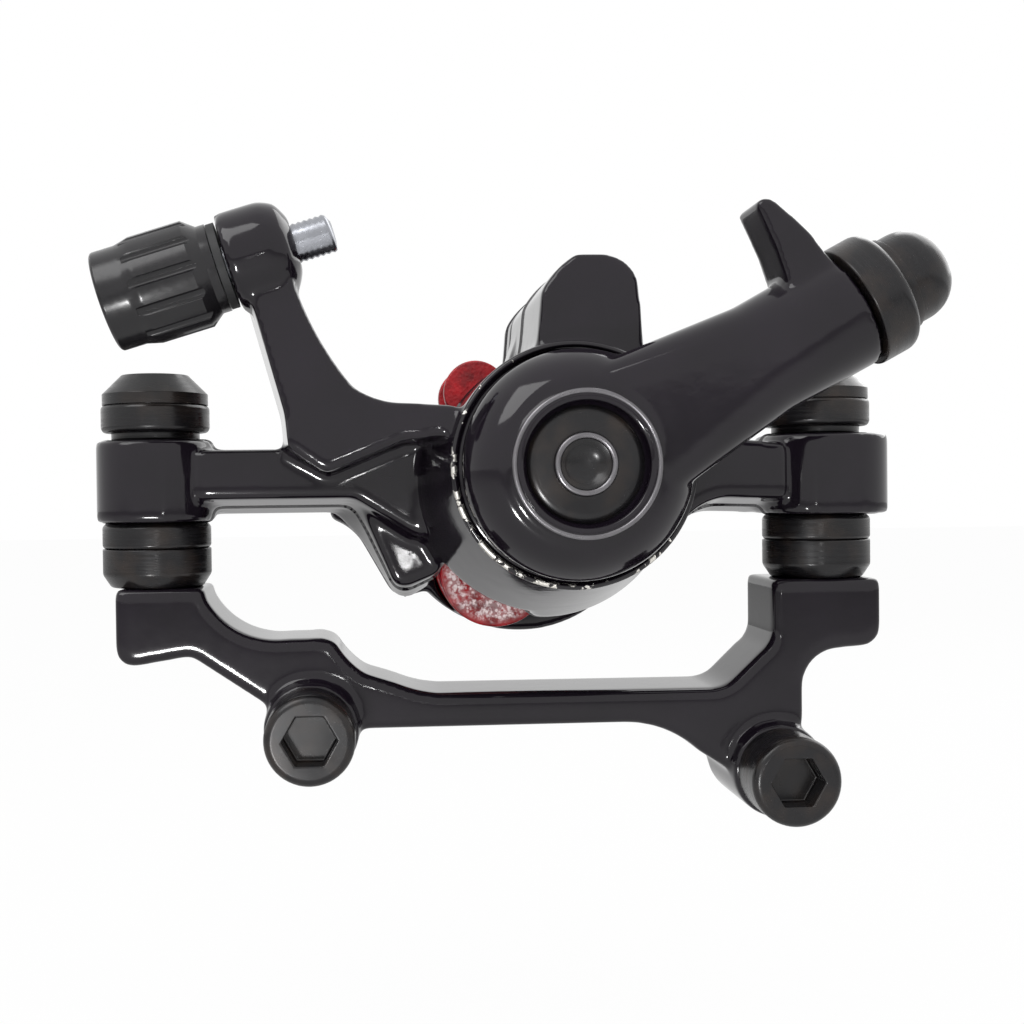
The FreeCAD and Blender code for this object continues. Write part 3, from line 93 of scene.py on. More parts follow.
# The cable stop's seat and its screw, which climbs towards +X
STOP_AT = (-45.15, -6.0, 47.5)
STOP_ANGLE = 17.1
SCREW_RADIUS, SCREW_BORE = 2.0, 1.1
SCREW_START = 9.0
SCREW_LENGTH = 14.5

# The lever arm's angle, and the middle of the red plate's low lobe, round which its painted
# highlight lies
LEVER_ANGLE = 28.5
LOBE = (-4.6, 9.2, 18.9)

# The shoulder that is cut from in front of the pad's ear: angles left of upright about the cam's
# axis, the radius that it is cut down to, the cutter's outer radius, its depth and its facets
EAR_ANGLES = (15.5, 62.0)
EAR_FLOOR = 12.3
EAR_REACH = 19.0
EAR_DEPTH = 24.0
EAR_STEPS = 24

# Vertices that are closer than this become one
WELD = 0.002

# The lever's grid as a share of the castings', with more rounds to match
LEVER_GRID = 0.75
LEVER_MORE_ROUNDS = 4

# Edge rounds of the knob, as a share of the turned pieces', and of the pads' plates
KNOB_ROUND = 0.7
PLATE_ROUND = 0.25

# Turned pieces, in degrees: edges flatter than the first are dissolved, sharper than the second
# are rounded
FLAT_ANGLE, EDGE_ANGLE = 0.6, 28


# Sizes and colours that a user would change

class CaliperSizes(bpy.types.PropertyGroup):
    cast_voxel: bpy.props.FloatProperty(
        name="Casting grid", description="Grid that the cast pieces are rebuilt on",
        default=0.345 * MM, unit="LENGTH", precision=5)
    cast_rounds: bpy.props.IntProperty(
        name="Casting rounds", description="How often the cast pieces' edges are smoothed",
        default=18)
    parting_height: bpy.props.FloatProperty(
        name="Parting line",
        description="How far the line stands out where a casting's mould closed",
        default=0.16 * MM, unit="LENGTH", precision=5)
    edge_round: bpy.props.FloatProperty(
        name="Edge round", description="Radius on the edges of turned pieces",
        default=0.22 * MM, unit="LENGTH", precision=5)
    thread_pitch: bpy.props.FloatProperty(
        name="Thread pitch", description="Pitch of the barrel's thread",
        default=0.6 * MM, unit="LENGTH", precision=5)
    thread_depth: bpy.props.FloatProperty(
        name="Thread depth", description="Depth of the barrel's thread",
        default=0.15 * MM, unit="LENGTH", precision=5)
    seam_bead: bpy.props.FloatProperty(
        name="Rim edge", description="Radius of the rounded edge of the housing's front rim",
        default=0.34 * MM, unit="LENGTH", precision=5)


class CaliperColours(bpy.types.PropertyGroup):
    enamel: bpy.props.StringProperty(
        name="Enamel", description="Colour of the painted castings, sRGB", default="#100c12")
    oxide: bpy.props.StringProperty(
        name="Black oxide", description="Colour of the bolts and washers, sRGB", default="#131214")
    nylon: bpy.props.StringProperty(
        name="Nylon", description="Colour of the moulded knob, sRGB", default="#151416")
    zinc: bpy.props.StringProperty(
        name="Zinc", description="Colour of the plated barrel, sRGB", default="#a6a8ae")
    red: bpy.props.StringProperty(
        name="Pad red", description="Colour of the pads' steel plates, sRGB", default="#b3101c")


def sizes():
    return bpy.context.scene.caliper_sizes


def colours():
    return bpy.context.scene.caliper_colours


# Materials

def linear(code):
    """An sRGB hex colour as linear RGBA."""
    channels = [int(code[i:i + 2], 16) / 255 for i in (1, 3, 5)]
    return tuple(c / 12.92 if c <= 0.04045 else ((c + 0.055) / 1.055) ** 2.4
                 for c in channels) + (1.0,)


def scaled(colour, share):
    """A linear colour made lighter or darker."""
    return tuple(c * share for c in colour[:3]) + (1.0,)


def per(size_mm):
    """A texture scale, from the size in millimetres that one pattern cell has."""
    return 1 / (size_mm * MM)


def add(tree, kind, settings=None, links=None):
    """Adds a node, sets its properties and sockets, and links its inputs to other outputs."""
    node = tree.nodes.new("ShaderNode" + kind)
    for key, value in (settings or {}).items():
        if key in node.inputs:
            node.inputs[key].default_value = value
        else:
            setattr(node, key, value)
    for key, (source, output) in (links or {}).items():
        tree.links.new(source.outputs[output], node.inputs[key])
    return node


def blank(name):
    """A material with its shader, its output and Object coordinates."""
    material = bpy.data.materials.get(name)
    if material:
        return material, None, None, None
    material = bpy.data.materials.new(name)
    material.use_nodes = True
    tree = material.node_tree
    tree.nodes.clear()
    shader = add(tree, "BsdfPrincipled")
    add(tree, "OutputMaterial", links={"Surface": (shader, "BSDF")})
    place = add(tree, "TexCoord")
    return material, tree, shader, place


def ramp(tree, source, stops, output="Fac"):
    """A colour ramp over a texture's value, with stops of (position, colour)."""
    node = add(tree, "ValToRGB", links={"Fac": (source, output)})
    marks = node.color_ramp.elements
    while len(marks) < len(stops):
        marks.new(0.5)
    for mark, (position, colour) in zip(marks, stops):
        mark.position = position
        mark.color = colour
    return node


def grey(value):
    """A linear grey as RGBA."""
    return (value, value, value, 1.0)


def noise(tree, place, size_mm, detail=3.0, roughness=0.5):
    """A noise texture whose features have a size in millimetres."""
    return add(tree, "TexNoise", {"Scale": per(size_mm), "Detail": detail, "Roughness": roughness},
               {"Vector": (place, "Object")})


def bump(tree, shader, layers):
    """Stacks height layers of (texture, output, strength, height in mm) into the normal."""
    below = None
    for source, output, strength, height in layers:
        links = {"Height": (source, output)}
        if below:
            links["Normal"] = (below, "Normal")
        below = add(tree, "Bump", {"Strength": strength, "Distance": height * MM}, links)
    tree.links.new(below.outputs["Normal"], shader.inputs["Normal"])


def gloss_enamel():
    """Stoved gloss enamel over a die casting: violet-black, with faint orange peel and dust."""
    material, tree, shader, place = blank("stoved_black_enamel")
    if tree is None:
        return material
    colour = linear(colours().enamel)
    cloud = noise(tree, place, 9.0)
    tone = ramp(tree, cloud, [(0.3, colour), (0.75, scaled(colour, 1.6))])
    tree.links.new(tone.outputs["Color"], shader.inputs["Base Color"])
    smear = noise(tree, place, 2.4, 5.0, 0.6)
    gloss = ramp(tree, smear, [(0.3, grey(0.07)), (0.7, grey(0.11))])
    tree.links.new(gloss.outputs["Color"], shader.inputs["Roughness"])
    shader.inputs["IOR"].default_value = 1.43
    peel = noise(tree, place, 1.8, 2.0)
    dust = add(tree, "TexVoronoi", {"Scale": per(1.3)}, {"Vector": (place, "Object")})
    speck = ramp(tree, dust, [(0.0, grey(1.0)), (0.16, grey(0.0))], "Distance")
    bump(tree, shader, [(peel, "Fac", 0.35, 0.022), (speck, "Color", 0.3, 0.005)])
    return material


def black_oxide(axis="Z"):
    """Hot black oxide on turned steel, oiled, with rings of tool marks round its axis."""
    material, tree, shader, place = blank("turned_black_oxide_" + axis.lower())
    if tree is None:
        return material
    turns = {"Z": (0, 0, 0), "Y": (math.radians(90), 0, 0),
             "LEVER": (0, math.radians(90 - LEVER_ANGLE), 0)}
    # Marks are 0.32 mm apart, coarser than real ones so that they show, and long round the piece
    along_axis = add(tree, "Mapping",
                     {"vector_type": "TEXTURE", "Rotation": turns[axis],
                      "Scale": (7 * MM, 7 * MM, 0.32 * MM)},
                     {"Vector": (place, "Object")})
    rings = add(tree, "TexNoise", {"Scale": 1.0, "Detail": 3.0, "Roughness": 0.6},
                {"Vector": (along_axis, "Vector")})
    colour = linear(colours().oxide)
    cloud = noise(tree, place, 3.0, 4.0)
    tone = ramp(tree, cloud, [(0.45, colour), (0.85, linear("#2c241f"))])
    tree.links.new(tone.outputs["Color"], shader.inputs["Base Color"])
    shader.inputs["Metallic"].default_value = 0.2
    gloss = ramp(tree, rings, [(0.35, grey(0.20)), (0.65, grey(0.32))])
    tree.links.new(gloss.outputs["Color"], shader.inputs["Roughness"])
    bump(tree, shader, [(rings, "Fac", 0.35, 0.008)])
    return material


def moulded_nylon():
    """Injection-moulded black nylon: a fine satin grain from the tool."""
    material, tree, shader, place = blank("moulded_black_nylon")
    if tree is None:
        return material
    colour = linear(colours().nylon)
    cloud = noise(tree, place, 5.0)
    tone = ramp(tree, cloud, [(0.3, colour), (0.8, scaled(colour, 1.5))])
    tree.links.new(tone.outputs["Color"], shader.inputs["Base Color"])
    grain = noise(tree, place, 0.5, 3.0)
    gloss = ramp(tree, grain, [(0.3, grey(0.17)), (0.7, grey(0.25))])
    tree.links.new(gloss.outputs["Color"], shader.inputs["Roughness"])
    shader.inputs["IOR"].default_value = 1.45
    bump(tree, shader, [(grain, "Fac", 0.2, 0.010)])
    return material


def zinc_plate():
    """Bright zinc plate on a rolled thread: cool silver with slight dulling."""
    material, tree, shader, place = blank("bright_zinc_plate")
    if tree is None:
        return material
    colour = linear(colours().zinc)
    cloud = noise(tree, place, 1.2, 4.0)
    tone = ramp(tree, cloud, [(0.3, scaled(colour, 0.75)), (0.7, colour)])
    tree.links.new(tone.outputs["Color"], shader.inputs["Base Color"])
    shader.inputs["Metallic"].default_value = 1.0
    gloss = ramp(tree, cloud, [(0.3, grey(0.36)), (0.7, grey(0.20))])
    tree.links.new(gloss.outputs["Color"], shader.inputs["Roughness"])
    grain = noise(tree, place, 0.15, 2.0)
    bump(tree, shader, [(grain, "Fac", 0.3, 0.008)])
    return material


def red_plate():
    """Red enamel on pressed steel: satin above and wet on the low lobe, where pale grains in a band
    are a painted highlight.
    """
    material, tree, shader, place = blank("red_enamel_plate")
    if tree is None:
        return material
    cloud = noise(tree, place, 1.6, 4.0)
    tone = ramp(tree, cloud, [(0.3, linear("#6d0a12")), (0.7, linear(colours().red))])
    split = add(tree, "SeparateXYZ", links={"Vector": (place, "Object")})
    low = add(tree, "MapRange", {"From Min": 0.022, "From Max": 0.019}, {"Value": (split, "Z")})
    offset = add(tree, "VectorMath", {"operation": "SUBTRACT"}, {"Vector": (place, "Object")})
    offset.inputs[1].default_value = Vector(LOBE) * MM
    reach = add(tree, "VectorMath", {"operation": "LENGTH"}, {"Vector": (offset, "Vector")})
    rim = add(tree, "MapRange", {"From Min": 6.0 * MM, "From Max": 5.2 * MM},
              {"Value": (reach, "Value")})
    heart = add(tree, "MapRange", {"From Min": 2.2 * MM, "From Max": 3.6 * MM},
                {"Value": (reach, "Value")})
    # Pale grains in a band between about 2 and 6 mm from the low lobe's middle are a painted
    # highlight; the same cells also bump the enamel
    grain_and_glint_cells = add(tree, "TexVoronoi", {"Scale": per(0.40)}, {"Vector": (place, "Object")})
    patch = noise(tree, place, 1.0, 4.0, 0.7)
    near = ramp(tree, grain_and_glint_cells, [(0.42, grey(1.0)), (0.66, grey(0.25))], "Distance")
    where = ramp(tree, patch, [(0.40, grey(0.0)), (0.55, grey(1.0))])
    # Mask of the painted highlight: grains, in patches, on the low lobe, within the band
    lit = near
    for source, output in ((where, "Color"), (low, "Result"), (rim, "Result"), (heart, "Result")):
        lit = add(tree, "Math", {"operation": "MULTIPLY"}, {0: (lit, 0), 1: (source, output)})
    mixed = add(tree, "Mix", {"data_type": "RGBA"}, {"Factor": (lit, "Value"), 6: (tone, "Color")})
    # Near white, the colour of the painted highlight
    mixed.inputs[7].default_value = linear("#fbe9ea")
    tree.links.new(mixed.outputs[2], shader.inputs["Base Color"])
    shine = add(tree, "MapRange", {"To Min": 0.45, "To Max": 0.10}, {"Value": (low, "Result")})
    tree.links.new(shine.outputs["Result"], shader.inputs["Roughness"])
    shader.inputs["IOR"].default_value = 1.5
    bump(tree, shader, [(grain_and_glint_cells, "Distance", 0.5, 0.07), (cloud, "Fac", 0.3, 0.02)])
    return material


def rim_with_painted_glints():
    """Enamel on the housing's rim, with painted glints: specks of pale metal, most of all at the
    lower left where the light falls.
    """
    material, tree, shader, place = blank("enamel_rim_painted_glints")
    if tree is None:
        return material
    # Painted glints: noise specks of pale metal, more of them towards the lower left, where the
    # light falls on the rim
    chips = noise(tree, place, 1.3, 3.0, 0.6)
    centre = add(tree, "VectorMath", {"operation": "SUBTRACT"}, {"Vector": (place, "Object")})
    centre.inputs[1].default_value = (CAM_X * MM, 0, CAM_Z * MM)
    side = add(tree, "VectorMath", {"operation": "DOT_PRODUCT"}, {"Vector": (centre, "Vector")})
    side.inputs[1].default_value = (-0.55, 0, -0.83)
    glint_side_bias = add(tree, "MapRange",
               {"From Min": -4 * MM, "From Max": 11 * MM, "To Min": -0.22, "To Max": 0.03},
               {"Value": (side, "Value")})
    level = add(tree, "Math", {"operation": "ADD"}, {0: (chips, "Fac"), 1: (glint_side_bias, "Result")})
    glint_specks = ramp(tree, level, [(0.5, grey(0.0)), (0.53, grey(1.0))], "Value")
    mixed = add(tree, "Mix", {"data_type": "RGBA"}, {"Factor": (glint_specks, "Color")})
    mixed.inputs[6].default_value = linear(colours().enamel)
    # Pale metal of the painted glints
    mixed.inputs[7].default_value = linear("#dcd9d2")
    tree.links.new(mixed.outputs[2], shader.inputs["Base Color"])
    tree.links.new(glint_specks.outputs["Color"], shader.inputs["Metallic"])
    gloss = ramp(tree, glint_specks, [(0.0, grey(0.1)), (1.0, grey(0.34))], "Color")
    tree.links.new(gloss.outputs["Color"], shader.inputs["Roughness"])
    bump(tree, shader, [(glint_specks, "Color", 0.6, -0.03)])
    return material


def steel_with_painted_highlight():
    """Lighter grey steel on a raised ring's crest: a painted highlight that stands in for the
    ring's bright edge.
    """
    return bare_metal("black_steel_painted_highlight", "#7d7b7e", 0.24, 0.36)


def brake_compound():
    """Pressed brake compound: brown-grey, rough, with copper chips and pits."""
    material, tree, shader, place = blank("pressed_brake_compound")
    if tree is None:
        return material
    chips = add(tree, "TexVoronoi", {"Scale": per(0.5)}, {"Vector": (place, "Object")})
    tone = ramp(tree, chips,
                [(0.1, linear("#b06a42")), (0.2, linear("#4a3d38")), (0.8, linear("#2f2a29"))],
                "Distance")
    tree.links.new(tone.outputs["Color"], shader.inputs["Base Color"])
    shader.inputs["Roughness"].default_value = 0.85
    pits = noise(tree, place, 0.35, 4.0)
    bump(tree, shader, [(pits, "Fac", 0.7, 0.06)])
    return material


def bare_metal(name, code, low, high, metallic=1.0):
    """Bare or oiled metal whose polish varies between two roughness values."""
    material, tree, shader, place = blank(name)
    if tree is None:
        return material
    colour = linear(code)
    cloud = noise(tree, place, 1.5, 4.0)
    tone = ramp(tree, cloud, [(0.3, scaled(colour, 0.8)), (0.7, colour)])
    tree.links.new(tone.outputs["Color"], shader.inputs["Base Color"])
    shader.inputs["Metallic"].default_value = metallic
    gloss = ramp(tree, cloud, [(0.3, grey(high)), (0.7, grey(low))])
    tree.links.new(gloss.outputs["Color"], shader.inputs["Roughness"])
    grain = noise(tree, place, 0.18, 2.0)
    bump(tree, shader, [(grain, "Fac", 0.25, 0.006)])
    return material


def ground_steel():
    """Centreless-ground steel of pins, balls and the cam."""
    return bare_metal("ground_steel", "#a9abad", 0.18, 0.32)


def spring_steel():
    """Drawn spring steel, darker and oiled."""
    return bare_metal("drawn_spring_steel", "#6f7174", 0.25, 0.4)


def sintered_bronze():
    """Oil-filled sintered bronze of the shaft's bush."""
    return bare_metal("sintered_bronze", "#a5793f", 0.4, 0.6)


def nitrile_rubber():
    """Moulded nitrile rubber of the seals: dull and grey-black."""
    return bare_metal("nitrile_rubber", "#1b1b1c", 0.55, 0.7, metallic=0.0)


# Mesh tools

def node_copy(node):
    """A bmesh of a CAD node with its loose triangles joined."""
    shape = bmesh.new()
    shape.from_mesh(frame["nodes"][node].data)
    bmesh.ops.remove_doubles(shape, verts=shape.verts, dist=WELD * MM)
    return shape


def body_of(node):
    """The body that a CAD node rides on."""
    bodies = frame["record"]["behaviour"]["bodies"]
    return next(name for name, nodes in bodies.items() if node in nodes)


def piece(name, shape, material, body):
    """Makes a smooth object of a bmesh, with its material, that rides on a body."""
    mesh = bpy.data.meshes.new(name)
    shape.to_mesh(mesh)
    shape.free()
    obj = bpy.data.objects.new(name, mesh)
    bpy.context.scene.collection.objects.link(obj)
    mesh.materials.append(material)
    mesh.polygons.foreach_set("use_smooth", [True] * len(mesh.polygons))
    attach(obj, body)
    return obj


def stand_in(name, shape, material, node):
    """A piece that takes the place of one CAD node."""
    obj = piece(name, shape, material, body_of(node))
    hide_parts(node)
    return obj


def apply_modifiers(obj):
    """Makes an object's modifiers a part of its mesh."""
    bpy.context.view_layer.update()
    graph = bpy.context.evaluated_depsgraph_get()
    mesh = bpy.data.meshes.new_from_object(obj.evaluated_get(graph))
    old = obj.data
    obj.modifiers.clear()
    obj.data = mesh
    bpy.data.meshes.remove(old)


def parting_line(obj, level, height):
    """Raises a thin line round a casting where its mould closed, within the CAD's box."""
    shape = bmesh.new()
    shape.from_mesh(obj.data)
    for step in (-PARTING_HALF_WIDTH, 0, PARTING_HALF_WIDTH):
        bmesh.ops.bisect_plane(shape, geom=[*shape.verts, *shape.edges, *shape.faces],
                               plane_co=(0, (level + step) * MM, 0), plane_no=(0, 1, 0), dist=1e-7)
    shape.normal_update()
    for vert in shape.verts:
        if abs(vert.co.y - level * MM) < 1e-6 and abs(vert.normal.y) < 0.5:
            outward = Vector((vert.normal.x, 0, vert.normal.z)).normalized()
            vert.co += outward * height * MM
            vert.co.x = min(max(vert.co.x, CAD_BOX[0].x), CAD_BOX[1].x)
    shape.to_mesh(obj.data)
    shape.free()


def cast(name, node, material, voxel, rounds, cutter=None):
    """A casting: the node's shape, less a cutter, on a fine grid with its edges softened."""
    obj = stand_in(name, node_copy(node), material, node)
    if cutter:
        cut = obj.modifiers.new("cut", "BOOLEAN")
        cut.operation = "DIFFERENCE"
        cut.solver = "EXACT"
        cut.object = cutter
    grid = obj.modifiers.new("grid", "REMESH")
    grid.mode = "VOXEL"
    grid.voxel_size = voxel
    grid.use_smooth_shade = True
    soft = obj.modifiers.new("soft", "SMOOTH")
    soft.factor = 0.5
    soft.iterations = rounds
    apply_modifiers(obj)
    return obj


def turned(name, node, material, width):
    """A turned piece: the node's own shape with small rounds on its edges."""
    shape = node_copy(node)
    bmesh.ops.dissolve_limit(shape, angle_limit=math.radians(FLAT_ANGLE), verts=shape.verts,
                             edges=shape.edges)
    obj = stand_in(name, shape, material, node)
    edge = obj.modifiers.new("edge", "BEVEL")
    edge.width = width
    edge.segments = 3
    edge.limit_method = "ANGLE"
    edge.angle_limit = math.radians(EDGE_ANGLE)
    weighted = obj.modifiers.new("normals", "WEIGHTED_NORMAL")
    weighted.keep_sharp = True
    return obj


def lathe(points, steps=96):
    """A ring round the Z axis: a closed outline of (radius, height) in mm, turned once."""
    shape = bmesh.new()
    verts = [shape.verts.new((r * MM, 0, z * MM)) for r, z in points]
    outline = shape.faces.new(verts)
    edges = [e for e in outline.edges if any(v.co.x > 0 for v in e.verts)]
    bmesh.ops.spin(shape, geom=[*edges, *verts], cent=(0, 0, 0), axis=(0, 0, 1),
                   angle=2 * math.pi, steps=steps, use_merge=True)
    shape.faces.remove(outline)
    bmesh.ops.remove_doubles(shape, verts=shape.verts, dist=WELD * MM)
    bmesh.ops.recalc_face_normals(shape, faces=shape.faces)
    return shape


def tube(radius, thickness, steps=128):
    """A round ring about the Z axis, in mm."""
    shape = bmesh.new()
    place = Matrix.Translation((radius * MM, 0, 0)) @ Matrix.Rotation(math.pi / 2, 4, "X")
    bmesh.ops.create_circle(shape, segments=12, radius=thickness * MM, matrix=place)
    bmesh.ops.spin(shape, geom=[*shape.verts, *shape.edges], cent=(0, 0, 0), axis=(0, 0, 1),
                   angle=2 * math.pi, steps=steps, use_merge=True)
    bmesh.ops.recalc_face_normals(shape, faces=shape.faces)
    return shape


def threaded(length, crest, root, bore, pitch, steps=40):
    """A hollow threaded tube along Z: a zigzag line turned once while it climbs one pitch."""
    shape = bmesh.new()
    count = 2 * int(length / pitch) + 1
    line = [shape.verts.new((crest if i % 2 else root, 0, i * pitch / 2)) for i in range(count)]
    edges = [shape.edges.new(pair) for pair in zip(line, line[1:])]
    bmesh.ops.spin(shape, geom=line + edges, cent=(0, 0, 0), axis=(0, 0, 1), angle=2 * math.pi,
                   steps=steps, dvec=(0, 0, pitch / steps))
    bmesh.ops.remove_doubles(shape, verts=shape.verts, dist=WELD * MM)
    top = max(v.co.z for v in shape.verts)
    rims = [e for e in shape.edges if e.is_boundary]
    ends = ([e for e in rims if e.verts[0].co.z < top / 2],
            [e for e in rims if e.verts[0].co.z > top / 2])
    circles = []
    for rim, level in zip(ends, (0, top)):
        ring = bmesh.ops.create_circle(shape, radius=bore, segments=steps,
                                       matrix=Matrix.Translation((0, 0, level)))["verts"]
        circle = [e for e in shape.edges if e.verts[0] in ring and e.verts[1] in ring]
        bmesh.ops.bridge_loops(shape, edges=rim + circle)
        circles += circle
    bmesh.ops.bridge_loops(shape, edges=circles)
    bmesh.ops.recalc_face_normals(shape, faces=shape.faces)
    return shape


def along(shape, at, direction):
    """Turns a shape's Z axis to a direction and moves its origin to a place in mm."""
    turn = Vector(direction).to_track_quat("Z", "Y").to_matrix().to_4x4()
    bmesh.ops.transform(shape, verts=shape.verts, matrix=Matrix.Translation(Vector(at) * MM) @ turn)
    return shape


def on_cam_axis(shape, depth):
    """Stands a shape on the cam's axis at a depth, with its Z axis towards the front."""
    return along(shape, (CAM_X, depth, CAM_Z), (0, -1, 0))


def ear_shoulder():
    """A block that takes the housing's shoulder away from in front of the pad's ear."""
    low, high = EAR_ANGLES
    turns = [math.radians(high + (low - high) * i / EAR_STEPS) for i in range(EAR_STEPS + 1)]
    outline = [(CAM_X - EAR_FLOOR * math.sin(a), CAM_Z + EAR_FLOOR * math.cos(a)) for a in turns]
    left = CAM_X - EAR_REACH * math.sin(turns[0])
    outline += [(outline[-1][0], CAM_Z + EAR_REACH), (left, CAM_Z + EAR_REACH),
                (left, CAM_Z + EAR_REACH * math.cos(turns[0]))]
    shape = bmesh.new()
    front = shape.faces.new([shape.verts.new((x * MM, HOUSING_FRONT * MM, z * MM))
                             for x, z in outline])
    swept = bmesh.ops.extrude_face_region(shape, geom=[front])["geom"]
    bmesh.ops.translate(shape, verts=[v for v in swept if isinstance(v, bmesh.types.BMVert)],
                        vec=(0, EAR_DEPTH * MM, 0))
    bmesh.ops.triangulate(shape, faces=shape.faces)
    bmesh.ops.recalc_face_normals(shape, faces=shape.faces)
    mesh = bpy.data.meshes.new("shoulder_block")
    shape.to_mesh(mesh)
    shape.free()
    block = bpy.data.objects.new("shoulder_block", mesh)
    bpy.context.scene.collection.objects.link(block)
    return block


def carry(nodes, material):
    """Gives CAD nodes that stay as they are their material."""
    for name in nodes:
        obj = frame["nodes"][name]
        if obj.material_slots:
            for holder in obj.material_slots:
                holder.material = material
        else:
            obj.data.materials.append(material)


# Pieces

class CALIPER_OT_castings(bpy.types.Operator):
    """Adapter and both halves of the caliper body, as enamelled castings"""
    bl_idname = "caliper.castings"
    bl_label = "Castings"

    def execute(self, context):
        size = sizes()
        for name, node in (("adapter_casting", "adapter_bracket"),
                           ("outboard_casting", "outboard_body"),
                           ("inboard_casting", "inboard_body")):
            cutter = ear_shoulder() if node == "outboard_body" else None
            casting = cast(name, node, gloss_enamel(), size.cast_voxel, size.cast_rounds, cutter)
            if node in PARTING_LINES:
                parting_line(casting, PARTING_LINES[node], size.parting_height / MM)
            if cutter:
                bpy.data.objects.remove(cutter)
        bead = on_cam_axis(tube(BEAD_RADIUS, size.seam_bead / MM), BEAD_DEPTH)
        # The rim's edge carries painted glints
        piece("rim_edge", bead, rim_with_painted_glints(), "caliper")
        return {"FINISHED"}


class CALIPER_OT_lever(bpy.types.Operator):
    """Lever arm with its hub and cable guide, as an enamelled forging"""
    bl_idname = "caliper.lever"
    bl_label = "Lever"

    def execute(self, context):
        size = sizes()
        cast("lever_forging", "lever_arm", gloss_enamel(), size.cast_voxel * LEVER_GRID,
             size.cast_rounds + LEVER_MORE_ROUNDS)
        ring = on_cam_axis(lathe(HUB_RING_OUTLINE), HUB_RING_BACK)
        piece("hub_ring", ring, gloss_enamel(), "lever")
        # A thin ring of lighter steel on the hub ring's crest, as a painted highlight
        edge = on_cam_axis(tube(HUB_EDGE_RADIUS, HUB_EDGE_THICKNESS), HUB_EDGE_DEPTH)
        piece("hub_ring_edge", edge, steel_with_painted_highlight(), "lever")
        return {"FINISHED"}


class CALIPER_OT_fasteners(bpy.types.Operator):
    """Bolts and washers of the posts, tabs, lever and body"""
    bl_idname = "caliper.fasteners"
    bl_label = "Bolts and washers"

    def execute(self, context):
        size = sizes()
        for axis, nodes in (("Z", ("post_bolts", "lower_cup_washers", "lower_ball_washers",
                                   "upper_ball_washers", "upper_cup_washers")),
                            ("Y", ("tab_bolts", "body_bolt")),
                            ("LEVER", ("clamp_washer", "clamp_bolt"))):
            for node in nodes:
                turned(node + "_turned", node, black_oxide(axis), size.edge_round)
        bolt = on_cam_axis(lathe(BOLT_OUTLINE), BOLT_BACK)
        stand_in("lever_bolt_turned", bolt, black_oxide("Y"), "lever_bolt")
        # A thin ring of lighter steel on the bolt's raised rim, as a painted highlight
        ring = on_cam_axis(tube(BOLT_RING_RADIUS, BOLT_RING_THICKNESS), BOLT_RING_DEPTH)
        piece("lever_bolt_ring", ring, steel_with_painted_highlight(), body_of("lever_bolt"))
        return {"FINISHED"}


class CALIPER_OT_barrel(bpy.types.Operator):
    """Fluted knob and threaded barrel of the cable stop"""
    bl_idname = "caliper.barrel"
    bl_label = "Cable stop barrel"

    def execute(self, context):
        size = sizes()
        turned("knob_moulding", "barrel_knob", moulded_nylon(), size.edge_round * KNOB_ROUND)
        crest = SCREW_RADIUS * MM
        screw = threaded(SCREW_LENGTH * MM, crest, crest - size.thread_depth, SCREW_BORE * MM,
                         size.thread_pitch)
        turn = math.radians(STOP_ANGLE)
        direction = Vector((math.cos(turn), 0, math.sin(turn)))
        start = Vector(STOP_AT) + direction * SCREW_START
        stand_in("threaded_barrel", along(screw, start, direction), zinc_plate(), "barrel_screw")
        carry(["detent_ring"], nitrile_rubber())
        return {"FINISHED"}


class CALIPER_OT_pads(bpy.types.Operator):
    """Brake pads with their red plates, and the spring that spreads them"""
    bl_idname = "caliper.pads"
    bl_label = "Brake pads"

    def execute(self, context):
        for node in ("outer_pad_backing", "inner_pad_backing"):
            turned(node + "_pressing", node, red_plate(), PLATE_ROUND * MM)
        carry(["outer_pad_friction", "inner_pad_friction"], brake_compound())
        carry(["pad_spring"], spring_steel())
        return {"FINISHED"}


class CALIPER_OT_inner_parts(bpy.types.Operator):
    """Finishes of the ball ramp, the adjuster and the other pieces inside"""
    bl_idname = "caliper.inner_parts"
    bl_label = "Inner parts"

    def execute(self, context):
        carry(["drive_cam", "ramp_balls", "piston", "thrust_washer", "piston_key", "pad_magnet",
               "dowel_pins", "adjuster_plunger"], ground_steel())
        carry(["shaft_bush"], sintered_bronze())
        carry(["dust_seal"], nitrile_rubber())
        carry(["return_spring"], spring_steel())
        turned("dial_moulding", "adjuster_dial", moulded_nylon(), sizes().edge_round)
        return {"FINISHED"}


# Studio

# The camera's place and turn, found by lining the CAD's posts and bolts up with the photograph
CAMERA_AT = Vector((-19.88, -144.21, 28.26)) * MM
CAMERA_YAW = 3.0
CAMERA_PITCH = -0.93
CAMERA_ROLL = 0.7
CAMERA_LENS = 47.64
CAMERA_SENSOR = 36
CAMERA_SHIFT = 0.0791
CAMERA_CLIP = (0.01, 20)

FLOOR_LEVEL = -42 * MM
FLOOR_HALF_WIDTH = 2.0
PAPER_GREY = 0.65
# How far the paper glows plain white for the camera, and the part of that which gloss sees
FLOOR_GLOW = 0.97
FLOOR_GLOW_IN_GLOSS = 0.2
# The world's strength as a light, and where it is seen
WORLD_LIGHT, WORLD_SEEN = 0.5, 1.0

# Soft boxes: name, place and side in metres, watts, and whether gloss shows them
LAMP_TARGET = (0, 0, 0.028)
LAMPS = (
    ("key_box", (0.05, -0.25, 0.40), 0.40, 1.8, False),
    ("arc_box", (-0.26, -0.24, 0.38), 0.28, 0.9, True),
    ("rim_box", (0.30, 0.25, 0.30), 0.40, 1.0, True),
    ("front_box", (-0.008, -0.30, 0.004), 0.006, 0.012, True),
    ("low_box", (-0.065, -0.17, -0.034), 0.016, 0.10, True),
)


